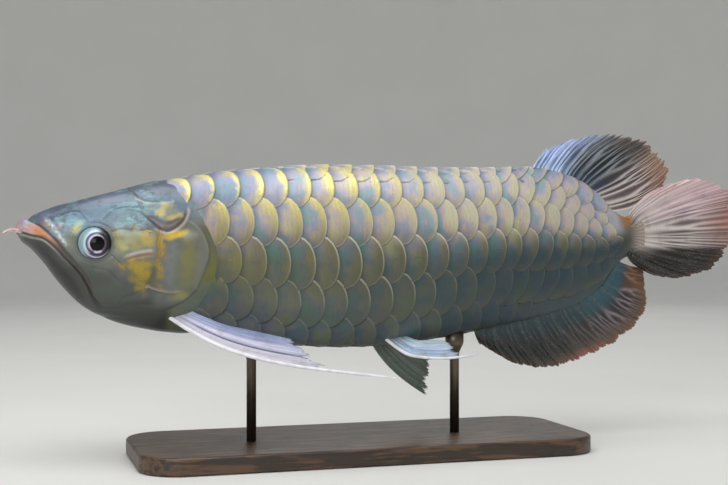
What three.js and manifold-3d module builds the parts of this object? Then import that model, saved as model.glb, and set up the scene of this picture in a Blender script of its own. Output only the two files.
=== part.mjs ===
// Asian arowana, a still life-size model on a plain display stand.
// Millimetres, +Z up. The snout points to -X and the fish's left side to -Y.
// The origin is the centre of the underside of the stand's base.
import * as THREE from 'three';
import { mergeVertices } from 'three/addons/utils/BufferGeometryUtils.js';
import Module from 'manifold-3d';

const wasm = await Module();
wasm.setup();

// Driving dimensions
const bodyLength = 419; // snout tip to the end of the scaled tail root, along X
const bodyDepth = 118; // back to belly where the trunk is deepest
const bodyWidth = 60; // flank to flank where the trunk is widest
const snoutX = -213; // the snout tip, ahead of the stand's centre
const eyeLevel = 134; // height of the eyes above the floor
const bendDepth = 21; // how far the tail and snout turn to the fish's right
const gap = 0.3; // clear space between pieces that meet
const baseLength = 290;
const baseWidth = 110;
const baseThickness = 11;
const rodRadius = 3;

const degrees = Math.PI / 180;

// Finishes of the flesh, the fins and the stand
const finishes = {
  head: { color: 0x8ba0a4, roughness: 0.42, metalness: 0.2 },
  lowerJaw: { color: 0x6f7766, roughness: 0.45, metalness: 0.1 },
  upperJaw: { color: 0xb9806c, roughness: 0.4, metalness: 0.1 },
  gillCover: { color: 0xa9a46a, roughness: 0.35, metalness: 0.35 },
  eye: { color: 0x2c3038, roughness: 0.1, metalness: 0.1 },
  trunkFront: { color: 0xa8a88c, roughness: 0.35, metalness: 0.35 },
  trunkRear: { color: 0x9fa59c, roughness: 0.35, metalness: 0.35 },
  tailRoot: { color: 0x98a0a0, roughness: 0.35, metalness: 0.35 },
  dorsalFin: { color: 0x5b6a72, roughness: 0.5, metalness: 0.05 },
  analFin: { color: 0x5d5c46, roughness: 0.5, metalness: 0.05 },
  caudalFin: { color: 0xa8776c, roughness: 0.5, metalness: 0.05 },
  pectoralFin: { color: 0xb9bfd0, roughness: 0.4, metalness: 0.05 },
  pelvicFin: { color: 0xa9b4bd, roughness: 0.4, metalness: 0.05 },
  barbel: { color: 0xb07f78, roughness: 0.5, metalness: 0 },
  standRod: { color: 0x6a6054, roughness: 0.35, metalness: 0.6 },
  standBase: { color: 0x26211d, roughness: 0.5, metalness: 0 },
};

// Trunk and head sections from snout to tail. Each row holds the share of the length, the
// upper and lower edge as shares of the depth from eye level, the half width as a share of
// the width, and how square the upper and lower halves are.
const sections = [
  { at: 0.000, top: 0.068, bottom: 0.056, half: 0.050, upper: 2.0, lower: 2.0 }, // lip
  { at: 0.007, top: 0.113, bottom: 0.010, half: 0.135, upper: 2.3, lower: 2.0 },
  { at: 0.019, top: 0.134, bottom: -0.028, half: 0.185, upper: 2.5, lower: 2.0 },
  { at: 0.036, top: 0.163, bottom: -0.093, half: 0.228, upper: 2.6, lower: 1.9 },
  { at: 0.057, top: 0.192, bottom: -0.195, half: 0.270, upper: 2.7, lower: 1.8 }, // nostril
  { at: 0.088, top: 0.222, bottom: -0.314, half: 0.318, upper: 2.8, lower: 1.8 },
  { at: 0.129, top: 0.260, bottom: -0.398, half: 0.375, upper: 2.8, lower: 1.8 }, // eye
  { at: 0.191, top: 0.320, bottom: -0.458, half: 0.440, upper: 2.6, lower: 1.8 },
  { at: 0.272, top: 0.378, bottom: -0.490, half: 0.475, upper: 2.4, lower: 1.8 }, // gill edge
  { at: 0.413, top: 0.420, bottom: -0.562, half: 0.500, upper: 2.2, lower: 1.9 },
  { at: 0.527, top: 0.424, bottom: -0.571, half: 0.492, upper: 2.1, lower: 1.9 }, // mid trunk
  { at: 0.632, top: 0.420, bottom: -0.537, half: 0.450, upper: 2.0, lower: 1.8 },
  { at: 0.735, top: 0.429, bottom: -0.481, half: 0.375, upper: 2.0, lower: 1.8 }, // anal fin
  { at: 0.792, top: 0.437, bottom: -0.451, half: 0.317, upper: 1.9, lower: 1.8 }, // dorsal fin
  { at: 0.845, top: 0.414, bottom: -0.410, half: 0.258, upper: 1.9, lower: 1.8 },
  { at: 0.890, top: 0.363, bottom: -0.359, half: 0.208, upper: 1.9, lower: 1.8 },
  { at: 0.928, top: 0.273, bottom: -0.271, half: 0.167, upper: 1.9, lower: 1.8 },
  { at: 0.957, top: 0.186, bottom: -0.142, half: 0.133, upper: 2.0, lower: 2.0 },
  { at: 0.979, top: 0.160, bottom: -0.095, half: 0.113, upper: 2.0, lower: 2.0 },
  { at: 1.000, top: 0.156, bottom: -0.086, half: 0.075, upper: 2.0, lower: 2.0 }, // tail root
];
const widestLevel = 0.52; // height of the widest line, as a share of each section's depth

// The midline's sideways place at each share of the length, as a share of the bend depth.
const bend = [
  { at: 0.00, side: 0.61 }, { at: 0.13, side: 0.24 }, { at: 0.27, side: -0.10 },
  { at: 0.41, side: -0.33 }, { at: 0.51, side: -0.38 }, { at: 0.65, side: -0.30 },
  { at: 0.79, side: -0.02 }, { at: 0.94, side: 0.34 }, { at: 1.03, side: 0.55 },
  { at: 1.18, side: 0.63 },
];

// Smooth value of one column of a table, by cubic steps that follow the mean slope.
function smooth(rows, input, output, value) {
  const last = rows.length - 1;
  let i = 0;
  while (i < last - 1 && value > rows[i + 1][input]) i += 1;
  const run = (k) => rows[k + 1][input] - rows[k][input];
  const rise = (k) => (rows[k + 1][output] - rows[k][output]) / run(k);
  const slope = (k) => {
    if (k === 0) return rise(0);
    if (k === last) return rise(last - 1);
    return (rise(k - 1) * run(k) + rise(k) * run(k - 1)) / (run(k - 1) + run(k));
  };
  const t = Math.min(1, Math.max(0, (value - rows[i][input]) / run(i)));
  const a = 2 * t ** 3 - 3 * t ** 2 + 1;
  const b = t ** 3 - 2 * t ** 2 + t;
  const c = 3 * t ** 2 - 2 * t ** 3;
  const d = t ** 3 - t ** 2;
  return a * rows[i][output] + b * run(i) * slope(i)
    + c * rows[i + 1][output] + d * run(i) * slope(i + 1);
}

const shareAt = (x) => (x - snoutX) / bodyLength;
const bodyValue = (column, x) => smooth(sections, 'at', column, shareAt(x));
const backZ = (x) => eyeLevel + bodyDepth * bodyValue('top', x);
const bellyZ = (x) => eyeLevel + bodyDepth * bodyValue('bottom', x);
const halfWidth = (x) => bodyWidth * bodyValue('half', x);
const midY = (x) => bendDepth * smooth(bend, 'at', 'side', shareAt(x));

// Half width of the trunk at a height, on its rounded section.
function widthAtHeight(x, z) {
  const low = bellyZ(x);
  const high = backZ(x);
  const widest = low + widestLevel * (high - low);
  const up = z > widest;
  const reach = up ? high - widest : widest - low;
  const power = bodyValue(up ? 'upper' : 'lower', x);
  const height = Math.min(1, Math.abs(z - widest) / reach);
  return halfWidth(x) * (1 - height ** power) ** (1 / power);
}

// Closed skin over rings of points, each ring with the same count, both ends drawn to a point.
function closedLoft(rings, startPoint, endPoint) {
  const sides = rings[0].length;
  const positions = [startPoint, ...rings.flat(), endPoint];
  const index = [];
  const at = (ring, side) => 1 + ring * sides + (side % sides);
  for (let side = 0; side < sides; side += 1) {
    index.push(0, at(0, side + 1), at(0, side));
    index.push(positions.length - 1, at(rings.length - 1, side), at(rings.length - 1, side + 1));
    for (let ring = 0; ring < rings.length - 1; ring += 1) {
      const a = at(ring, side);
      const b = at(ring, side + 1);
      const c = at(ring + 1, side + 1);
      const d = at(ring + 1, side);
      index.push(a, b, c, a, c, d);
    }
  }
  return geometryOf(positions.flatMap((p) => [p.x, p.y, p.z]), index);
}

function geometryOf(positions, index) {
  const geometry = new THREE.BufferGeometry();
  geometry.setAttribute('position', new THREE.Float32BufferAttribute(positions, 3));
  geometry.setIndex(index);
  geometry.computeVertexNormals();
  return geometry;
}

// The whole trunk and head as one solid, drawn in by inset (out where inset is negative).
function bodyLoft(inset) {
  const ringCount = 36;
  const sideCount = 24;
  const endCrowding = 0.78;
  const noseReach = 0.6; // how far the closing points stand beyond the end sections
  const endReach = 1.2;
  const rings = [];
  for (let ring = 0; ring <= ringCount; ring += 1) {
    const t = ring / ringCount;
    const share = t - (endCrowding * Math.sin(2 * Math.PI * t)) / (2 * Math.PI);
    const x = snoutX + bodyLength * share;
    const low = bellyZ(x);
    const high = backZ(x);
    const widest = low + widestLevel * (high - low);
    const points = [];
    for (let side = 0; side < sideCount; side += 1) {
      const angle = (2 * Math.PI * side) / sideCount;
      const across = Math.sin(angle);
      const up = Math.cos(angle);
      const power = bodyValue(up > 0 ? 'upper' : 'lower', x);
      const reach = Math.max(0.2, (up > 0 ? high - widest : widest - low) - inset);
      const half = Math.max(0.2, halfWidth(x) - inset);
      const y = midY(x) - half * Math.sign(across) * Math.abs(across) ** (2 / power);
      const z = widest + reach * Math.sign(up) * Math.abs(up) ** (2 / power);
      points.push(new THREE.Vector3(x, y, z));
    }
    rings.push(points);
  }
  const noseX = snoutX + inset - noseReach;
  const endX = snoutX + bodyLength - inset + endReach;
  const middle = (x) => (backZ(x) + bellyZ(x)) / 2;
  const nose = new THREE.Vector3(noseX, midY(snoutX), middle(snoutX));
  const end = new THREE.Vector3(endX, midY(endX), middle(endX));
  rings[0].forEach((point) => { point.x += inset; });
  rings[ringCount].forEach((point) => { point.x -= inset; });
  return closedLoft(rings, nose, end);
}

// Solid from a closed geometry, and a geometry from a solid.
function solid(geometry) {
  const plain = geometry.clone();
  plain.deleteAttribute('normal');
  if (plain.getAttribute('uv')) plain.deleteAttribute('uv');
  const merged = mergeVertices(plain, 1e-4);
  return new wasm.Manifold(new wasm.Mesh({
    numProp: 3,
    vertProperties: new Float32Array(merged.getAttribute('position').array),
    triVerts: new Uint32Array(merged.getIndex().array),
  }));
}

function geometryFrom(manifold) {
  const mesh = manifold.getMesh();
  return geometryOf(Array.from(mesh.vertProperties), Array.from(mesh.triVerts));
}

// Slab that keeps only the stretch of the body from x0 to x1.
function slab(x0, x1) {
  const reach = 400;
  const box = new THREE.BoxGeometry(x1 - x0, reach, reach);
  box.translate((x0 + x1) / 2, 0, eyeLevel);
  return solid(box);
}

// Upright plate with a side outline given in X and height from eye level, between two Y limits.
function sidePlate(outline, y0, y1) {
  const shape = new THREE.Shape(outline.map(([x, z]) => new THREE.Vector2(x, z)));
  const plate = new THREE.ExtrudeGeometry(shape, { depth: y1 - y0, bevelEnabled: false });
  plate.rotateX(90 * degrees);
  plate.translate(0, y1, eyeLevel);
  return solid(plate);
}

// The same outline pushed out by a distance, square to each of its edges.
function grown(outline, distance) {
  const count = outline.length;
  const turn = outline.reduce((sum, [x, z], i) => {
    const [nextX, nextZ] = outline[(i + 1) % count];
    return sum + x * nextZ - nextX * z;
  }, 0);
  const outward = Math.sign(turn);
  return outline.map(([x, z], i) => {
    const before = new THREE.Vector2(...outline[(i + count - 1) % count]);
    const after = new THREE.Vector2(...outline[(i + 1) % count]);
    const here = new THREE.Vector2(x, z);
    const edgeIn = here.clone().sub(before).normalize();
    const edgeOut = after.sub(here).normalize();
    const normal = edgeIn.add(edgeOut).normalize();
    return [x + outward * distance * normal.y, z - outward * distance * normal.x];
  });
}

const model = new THREE.Group();

function addPart(name, geometry, finish) {
  const mesh = new THREE.Mesh(geometry, new THREE.MeshStandardMaterial(finish));
  mesh.name = name;
  model.add(mesh);
}

const body = solid(bodyLoft(0));
const bodyGrown = solid(bodyLoft(-gap));

// Head with its lower jaw, upper jaw bones, gill covers and eyes
const headEndX = snoutX + 0.281 * bodyLength;
const coverDepth = 4.5; // thickness of a gill cover
const jawBoneDepth = 3;
const farSide = 60;
const beyondSnoutX = snoutX - 6; // edges of cutting shapes, clear of the flesh
const beyondTailX = snoutX + bodyLength + 10;
const belowJaw = -60;

// Lower jaw, from the lip down the mouth line to its hinge below the cheek.
const jawOutline = [
  [beyondSnoutX, 9.5], [-205, 5.0], [-199, 2.0], [-193, -0.6], [-187, -5.8], [-181, -11.5],
  [-176, -18], [-172, -25], [-169, -32], [-166, -38], [-165, belowJaw],
  [beyondSnoutX, belowJaw],
];
// Upper jaw bone, a strip that slants down from the snout's side behind the mouth line.
const jawBoneOutline = [
  [-203, 12.5], [-197, 12.5], [-191, 6], [-184, -3], [-177, -11], [-170, -20], [-167, -26],
  [-168.5, -30], [-171, -25], [-175, -17.6], [-180.4, -11], [-186.6, -5.2], [-192.8, 0.2],
  [-199, 3.2],
];
// Gill cover with its round rear margin.
const coverOutline = [
  [-129, 10], [-122, 13.5], [-116, 14.5], [-110, 9.4], [-105, 1.5], [-102.6, -6], [-103, -13],
  [-106, -21], [-110, -28.5], [-116, -35], [-123, -39], [-131, -39.5], [-137, -36],
  [-136, -28], [-133, -18], [-130.5, -6],
];

function shellPlate(outline, side, depth, growth) {
  const limits = side < 0 ? [-farSide, 0] : [0, farSide];
  const centre = midY((outline[0][0] + outline[outline.length - 1][0]) / 2);
  const plate = sidePlate(grown(outline, growth), limits[0] + centre, limits[1] + centre);
  return plate.subtract(solid(bodyLoft(depth + growth)));
}

const eyeX = -167;
const eyeRadius = 11.2; // across the eyeball, whose visible part is 20 mm wide
const eyeDepth = 8;
const eyeSink = 4.7; // how far the eyeball's centre lies inside the cheek
const headTurn = -9; // heading of the head in the bend, in degrees
const snoutTaper = 13; // how far each eye is turned towards the snout, in degrees

function eyeball(side, growth) {
  const ball = new THREE.SphereGeometry(1, 16, 10);
  ball.rotateX(90 * degrees);
  ball.scale(eyeRadius + growth, eyeDepth + growth, eyeRadius + growth);
  ball.rotateZ((headTurn + side * snoutTaper) * degrees);
  const y = midY(eyeX) + side * (widthAtHeight(eyeX, eyeLevel) - eyeSink);
  ball.translate(eyeX, y, eyeLevel);
  return solid(ball);
}

const sides = [{ name: 'left', sign: -1 }, { name: 'right', sign: 1 }];

let head = body.intersect(slab(beyondSnoutX, headEndX - gap / 2));
const jaw = head.intersect(sidePlate(jawOutline, -farSide, farSide));
addPart('jaw_lower', geometryFrom(jaw), finishes.lowerJaw);
head = head.subtract(sidePlate(grown(jawOutline, gap), -farSide, farSide));
for (const { name, sign } of sides) {
  const cover = head.intersect(shellPlate(coverOutline, sign, coverDepth, 0));
  head = head.subtract(shellPlate(coverOutline, sign, coverDepth, gap));
  addPart(`gill_cover_${name}`, geometryFrom(cover), finishes.gillCover);
  const jawBone = head.intersect(shellPlate(jawBoneOutline, sign, jawBoneDepth, 0));
  head = head.subtract(shellPlate(jawBoneOutline, sign, jawBoneDepth, gap));
  addPart(`upper_jaw_${name}`, geometryFrom(jawBone), finishes.upperJaw);
  head = head.subtract(eyeball(sign, gap));
  addPart(`eye_${name}`, geometryFrom(eyeball(sign, 0)), finishes.eye);
}
addPart('head', geometryFrom(head), finishes.head);

// Trunk in two lengths, and the tail root that carries the caudal fin
const trunkCutX = snoutX + 0.58 * bodyLength;
const tailCutX = snoutX + 0.82 * bodyLength;
const trunkLengths = [
  { name: 'trunk_front', from: headEndX, to: trunkCutX, finish: finishes.trunkFront },
  { name: 'trunk_rear', from: trunkCutX, to: tailCutX, finish: finishes.trunkRear },
  { name: 'tail_root', from: tailCutX, to: beyondTailX, finish: finishes.tailRoot },
];
for (const { name, from, to, finish } of trunkLengths) {
  const length = body.intersect(slab(from + gap / 2, to - gap / 2));
  addPart(name, geometryFrom(length), finish);
}

// Thin closed fin. pointAt gives the mid surface over u, across the rays, and v, along them.
// The membrane between two rays ends a little short of their tips.
function finSheet({ rays, rows, pointAt, thicknessAt, normal, notch }) {
  const columns = 2 * rays - 1;
  const grid = [];
  for (let column = 0; column < columns; column += 1) {
    const reach = column % 2 === 0 ? 1 : 1 - notch;
    const line = [];
    for (let row = 0; row <= rows; row += 1) {
      const v = row / rows;
      line.push({ point: pointAt(column / (columns - 1), v * reach), half: thicknessAt(v) / 2 });
    }
    grid.push(line);
  }
  const positions = [];
  for (const side of [1, -1]) {
    for (const line of grid) {
      for (const { point, half } of line) {
        const p = point.clone().addScaledVector(normal, side * half);
        positions.push(p.x, p.y, p.z);
      }
    }
  }
  const faceSize = columns * (rows + 1);
  const at = (face, column, row) => face * faceSize + column * (rows + 1) + row;
  const index = [];
  const quad = (a, b, c, d) => index.push(a, b, c, a, c, d);
  for (let c = 0; c < columns - 1; c += 1) {
    for (let r = 0; r < rows; r += 1) {
      quad(at(0, c, r), at(0, c + 1, r), at(0, c + 1, r + 1), at(0, c, r + 1));
      quad(at(1, c, r), at(1, c, r + 1), at(1, c + 1, r + 1), at(1, c + 1, r));
    }
    quad(at(0, c, 0), at(1, c, 0), at(1, c + 1, 0), at(0, c + 1, 0));
    quad(at(0, c, rows), at(0, c + 1, rows), at(1, c + 1, rows), at(1, c, rows));
  }
  for (let r = 0; r < rows; r += 1) {
    quad(at(0, 0, r), at(0, 0, r + 1), at(1, 0, r + 1), at(1, 0, r));
    quad(at(0, columns - 1, r), at(1, columns - 1, r), at(1, columns - 1, r + 1),
      at(0, columns - 1, r + 1));
  }
  const sheet = solid(geometryOf(positions, index));
  if (sheet.volume() > 0) return sheet;
  for (let i = 0; i < index.length; i += 3) {
    [index[i + 1], index[i + 2]] = [index[i + 2], index[i + 1]];
  }
  return solid(geometryOf(positions, index));
}

const rayThickness = (root, tip) => (v) => root + (tip - root) * v;

const finRootDepth = 3; // how deep a mid fin is rooted in the trunk before it is cut to fit
const finEdge = 0.9; // thickness of a mid fin at its edge

// Point of a fin on the fish's mid plane: a base point, then along a ray at an angle.
function rayPoint(baseX, baseZ, angle, length, v, lean) {
  const x = baseX + length * v * Math.cos(angle * degrees);
  const z = baseZ + length * v * Math.sin(angle * degrees);
  return new THREE.Vector3(x, midY(x) + lean * v * v, z);
}

function addMidFin(name, sheet, finish) {
  addPart(name, geometryFrom(sheet.subtract(bodyGrown)), finish);
}

// Dorsal fin, far back, with its rays swept more and more level towards the tail
const dorsalRays = [
  { at: 0.00, angle: 46, length: 17 }, { at: 0.12, angle: 44, length: 28 },
  { at: 0.25, angle: 41, length: 39 }, { at: 0.50, angle: 34, length: 53 },
  { at: 0.75, angle: 27, length: 62 }, { at: 0.90, angle: 24, length: 57 },
  { at: 1.00, angle: 21, length: 46 },
];
const dorsalFrontX = snoutX + 0.792 * bodyLength;
const dorsalRearX = snoutX + 0.945 * bodyLength;
const dorsalLean = 5; // how far the tips lean to the fish's right
addMidFin('dorsal_fin', finSheet({
  rays: 20,
  rows: 2,
  notch: 0.05,
  normal: new THREE.Vector3(0, 1, 0),
  thicknessAt: rayThickness(3.4, finEdge),
  pointAt: (u, v) => {
    const baseX = dorsalFrontX + (dorsalRearX - dorsalFrontX) * u;
    const angle = smooth(dorsalRays, 'at', 'angle', u);
    const length = smooth(dorsalRays, 'at', 'length', u) + finRootDepth;
    return rayPoint(baseX, backZ(baseX) - finRootDepth, angle, length, v, dorsalLean);
  },
}), finishes.dorsalFin);

// Anal fin, longer at its base than the dorsal fin, ending close under the tail root
const analRays = [
  { at: 0.00, angle: -60, length: 10 }, { at: 0.12, angle: -58, length: 27 },
  { at: 0.25, angle: -55, length: 36 }, { at: 0.50, angle: -47, length: 41 },
  { at: 0.75, angle: -36, length: 40 }, { at: 0.90, angle: -24, length: 37 },
  { at: 1.00, angle: -11, length: 21 },
];
const analFrontX = snoutX + 0.690 * bodyLength;
const analRearX = snoutX + 0.955 * bodyLength;
const analLean = 4;
addMidFin('anal_fin', finSheet({
  rays: 26,
  rows: 2,
  notch: 0.05,
  normal: new THREE.Vector3(0, 1, 0),
  thicknessAt: rayThickness(3.4, finEdge),
  pointAt: (u, v) => {
    const baseX = analFrontX + (analRearX - analFrontX) * u;
    const angle = smooth(analRays, 'at', 'angle', u);
    const length = smooth(analRays, 'at', 'length', u) + finRootDepth;
    return rayPoint(baseX, bellyZ(baseX) + finRootDepth, angle, length, v, analLean);
  },
}), finishes.analFin);

// Caudal fin, a round fan whose longest rays point a little upward
const caudalRays = [
  { angle: -58, length: 26 }, { angle: -46, length: 39 }, { angle: -31, length: 55 },
  { angle: -18, length: 70 }, { angle: -6, length: 81 }, { angle: 10, length: 88 },
  { angle: 22, length: 87 }, { angle: 30, length: 80 }, { angle: 39, length: 66 },
  { angle: 46, length: 54 }, { angle: 52, length: 46 }, { angle: 56, length: 40 },
];
const hubX = snoutX + 0.976 * bodyLength;
const hubZ = eyeLevel + 0.033 * bodyDepth;
const hubHalfHeight = 12.5;
const hubRoundness = 4; // how far the middle rays start behind the outer ones
const caudalLean = -5;
const caudalSweep = { low: -58, high: 56 };
const sweepReach = Math.sin(-caudalSweep.low * degrees);
addMidFin('caudal_fin', finSheet({
  rays: 18,
  rows: 3,
  notch: 0.035,
  normal: new THREE.Vector3(0, 1, 0),
  thicknessAt: rayThickness(4.4, finEdge),
  pointAt: (u, v) => {
    const angle = caudalSweep.low + (caudalSweep.high - caudalSweep.low) * u;
    const length = smooth(caudalRays, 'angle', 'length', angle);
    const rootZ = hubZ + hubHalfHeight * Math.sin(angle * degrees) / sweepReach;
    const rootX = hubX + hubRoundness * Math.cos(angle * degrees);
    const tipX = hubX + length * Math.cos(angle * degrees);
    const tipZ = hubZ + length * Math.sin(angle * degrees);
    const x = rootX + (tipX - rootX) * v;
    return new THREE.Vector3(x, midY(x) + caudalLean * v * v, rootZ + (tipZ - rootZ) * v);
  },
}), finishes.caudalFin);

// Paired fin: a short root along the flank, a long leading ray and shorter ones behind it.
// All places are given as X, distance out from the mid plane, and height from eye level.
function pairedFin({ sign, lead, trail, rays, rows, thickness }) {
  const toWorld = ([x, out, z]) => new THREE.Vector3(x, midY(x) + sign * out, eyeLevel + z);
  const leadCurve = new THREE.CatmullRomCurve3(lead.map(toWorld));
  const trailCurve = new THREE.CatmullRomCurve3(trail.map(toWorld));
  const along = leadCurve.getPoint(1).sub(leadCurve.getPoint(0));
  const across = trailCurve.getPoint(0.5).sub(leadCurve.getPoint(0.5));
  return finSheet({
    rays,
    rows,
    notch: 0.04,
    normal: along.cross(across).normalize(),
    thicknessAt: rayThickness(...thickness),
    pointAt: (u, v) => leadCurve.getPoint(v).lerp(trailCurve.getPoint(v), u),
  }).subtract(bodyGrown);
}

// The left pectoral fin sweeps low and out, the right one is held up against the flank.
const pectorals = [
  {
    name: 'left', sign: -1,
    lead: [[-127, 12, -43], [-109, 28, -55], [-87, 37, -65], [-53, 45, -73], [5, 56, -80.5]],
    trail: [[-116, 14, -39], [-95, 20, -48.6], [-80, 20, -52.4], [-68, 21, -55], [-54, 23, -58]],
  },
  {
    name: 'right', sign: 1,
    lead: [[-127, 12, -43], [-108, 30, -48], [-84, 41, -50], [-48, 51, -50], [2, 61, -49]],
    trail: [[-116, 14, -39], [-96, 25, -41], [-82, 29, -41], [-70, 32, -40], [-57, 35, -39]],
  },
];
for (const { name, ...shape } of pectorals) {
  const fin = pairedFin({ ...shape, rays: 7, rows: 6, thickness: [3.6, 1.1] });
  addPart(`pectoral_fin_${name}`, geometryFrom(fin), finishes.pectoralFin);
}

// The left pelvic fin is swept back, the right one hangs lower.
const pelvics = [
  {
    name: 'left', sign: -1,
    lead: [[6, 9, -60], [19, 18, -68.9], [32, 21, -71.8], [48, 24, -72.6], [68, 28, -70.5]],
    trail: [[20, 8, -59], [29, 14, -63], [35, 15, -63.4], [41, 16, -63.2], [47, 17, -62.6]],
  },
  {
    name: 'right', sign: 1,
    lead: [[6, 8, -60], [13, 15, -70], [24, 20, -81.5], [37, 23, -92], [52, 25, -101.8]],
    trail: [[21, 8, -60], [31, 12, -66], [38, 14, -69], [44, 15, -72.5], [51, 16, -77]],
  },
];
for (const { name, ...shape } of pelvics) {
  const fin = pairedFin({ ...shape, rays: 6, rows: 4, thickness: [3, 1] });
  addPart(`pelvic_fin_${name}`, geometryFrom(fin), finishes.pelvicFin);
}

// Barbels at the tip of the lower jaw: tapered feelers along a curve
function taperedRod(points, rootRadius, tipRadius) {
  const curve = new THREE.CatmullRomCurve3(points);
  const steps = 6;
  const sideCount = 7;
  const rings = [];
  for (let step = 0; step <= steps; step += 1) {
    const t = step / steps;
    const centre = curve.getPoint(t);
    const along = curve.getTangent(t);
    const across = new THREE.Vector3(0, 0, 1).cross(along).normalize();
    const upward = along.clone().cross(across);
    const radius = rootRadius + (tipRadius - rootRadius) * t;
    const ring = [];
    for (let side = 0; side < sideCount; side += 1) {
      const angle = (2 * Math.PI * side) / sideCount;
      ring.push(centre.clone()
        .addScaledVector(across, radius * Math.cos(angle))
        .addScaledVector(upward, radius * Math.sin(angle)));
    }
    rings.push(ring);
  }
  const end = curve.getPoint(1).addScaledVector(curve.getTangent(1), tipRadius);
  return closedLoft(rings, curve.getPoint(0), end);
}

const barbelRootRadius = 1.5;
const barbelTipRadius = 0.7;
const barbels = [
  { name: 'left', points: [[-206, 4, 5.2], [-211, 6.5, 7], [-216, 9, 7.3], [-220.5, 12, 5.4]] },
  { name: 'right', points: [[-206, 4, 5.2], [-209, 9, 5.6], [-208.5, 14, 3.6], [-206, 18, 0.5]] },
];
barbels.forEach(({ name, points }, i) => {
  const places = points.map(([x, out, z]) => (
    new THREE.Vector3(x, midY(x) + sides[i].sign * out, eyeLevel + z)));
  const rod = solid(taperedRod(places, barbelRootRadius, barbelTipRadius));
  addPart(`barbel_${name}`, geometryFrom(rod.subtract(bodyGrown)), finishes.barbel);
});

// Display stand: a flat base with soft edges, and two rods with small cups under the belly
const edgeRound = 2;
const cornerRadius = 26;
const rodSink = 6; // how deep a rod stands in the base
const cupRadius = 6;
const cupHeight = 5; // from a cup's shoulder to the lowest point of the belly over it
const cupFlare = 3; // height over which a rod widens into its cup
const cupOverlap = 8; // how far a cup is carried up before it is cut to the belly
const holeReach = 1; // how far a cutting shape stands clear of the base

function roundedPlate(length, width, radius) {
  const shape = new THREE.Shape();
  const x = length / 2;
  const y = width / 2;
  shape.moveTo(-x + radius, -y);
  shape.lineTo(x - radius, -y);
  shape.absarc(x - radius, -y + radius, radius, -90 * degrees, 0);
  shape.absarc(x - radius, y - radius, radius, 0, 90 * degrees);
  shape.absarc(-x + radius, y - radius, radius, 90 * degrees, 180 * degrees);
  shape.absarc(-x + radius, -y + radius, radius, 180 * degrees, 270 * degrees);
  return shape;
}

function lathed(profile, x, y) {
  const points = profile.map(([radius, z]) => new THREE.Vector2(radius, z));
  const turned = new THREE.LatheGeometry(points, 16);
  turned.rotateX(90 * degrees);
  turned.translate(x, y, 0);
  return solid(turned);
}

const plateShape = roundedPlate(baseLength - 2 * edgeRound, baseWidth - 2 * edgeRound,
  cornerRadius - edgeRound);
const plate = new THREE.ExtrudeGeometry(plateShape, {
  depth: baseThickness - 2 * edgeRound,
  bevelThickness: edgeRound,
  bevelSize: edgeRound,
  bevelSegments: 1,
  curveSegments: 4,
});
plate.translate(0, 0, edgeRound);
let base = solid(plate);

const rods = [{ name: 'front', x: -72 }, { name: 'rear', x: 62 }];
for (const { name, x } of rods) {
  const y = midY(x);
  const low = baseThickness - rodSink;
  const cupTop = bellyZ(x) + cupOverlap;
  const cupLow = bellyZ(x) - cupHeight;
  const hole = lathed([
    [0, low - gap], [rodRadius + gap, low - gap],
    [rodRadius + gap, baseThickness + holeReach], [0, baseThickness + holeReach],
  ], x, y);
  base = base.subtract(hole);
  const rod = lathed([
    [0, low], [rodRadius, low], [rodRadius, cupLow], [cupRadius, cupLow + cupFlare],
    [cupRadius, cupTop], [0, cupTop],
  ], x, y).subtract(bodyGrown);
  addPart(`stand_rod_${name}`, geometryFrom(rod), finishes.standRod);
}
addPart('stand_base', geometryFrom(base), finishes.standBase);

export default model;
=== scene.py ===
# Asian arowana, a still life-size model on a plain display stand.
# Metres, +Z up. The snout points to -X and the fish's left side to -Y.
import math

import bpy
import numpy as np
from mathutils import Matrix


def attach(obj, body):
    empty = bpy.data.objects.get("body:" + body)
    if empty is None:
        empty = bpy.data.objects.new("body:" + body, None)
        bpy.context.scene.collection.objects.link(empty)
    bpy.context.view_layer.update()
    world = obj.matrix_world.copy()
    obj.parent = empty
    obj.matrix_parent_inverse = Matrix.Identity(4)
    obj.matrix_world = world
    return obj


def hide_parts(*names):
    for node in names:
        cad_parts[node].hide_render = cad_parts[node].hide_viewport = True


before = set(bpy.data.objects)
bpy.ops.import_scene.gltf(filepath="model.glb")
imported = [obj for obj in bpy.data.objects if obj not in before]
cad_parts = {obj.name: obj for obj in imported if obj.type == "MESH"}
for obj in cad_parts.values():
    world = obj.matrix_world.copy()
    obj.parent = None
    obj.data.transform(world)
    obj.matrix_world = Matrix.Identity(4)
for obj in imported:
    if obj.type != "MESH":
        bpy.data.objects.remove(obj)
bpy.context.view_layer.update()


# The camera
# It stands level with the fish's eye, well back from the left side, and is turned a little
# towards the tail, so that the head is seen side on.
mm = 0.001
eye_level = 134 * mm
view_turn = math.radians(17)
view_distance = 792.5 * mm
view_aim = (0, -8 * mm)
picture_width = 728
focal_length_in_pixels = 1250

lens = bpy.data.cameras.new("camera")
lens.sensor_width = 36
lens.lens = lens.sensor_width * focal_length_in_pixels / picture_width
lens.clip_start = 0.01
camera = bpy.data.objects.new("camera", lens)
camera.location = (
    view_aim[0] - view_distance * math.sin(view_turn),
    view_aim[1] - view_distance * math.cos(view_turn),
    eye_level,
)
camera.rotation_euler = (math.radians(90), 0, -view_turn)
bpy.context.collection.objects.link(camera)
bpy.context.scene.camera = camera


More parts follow.
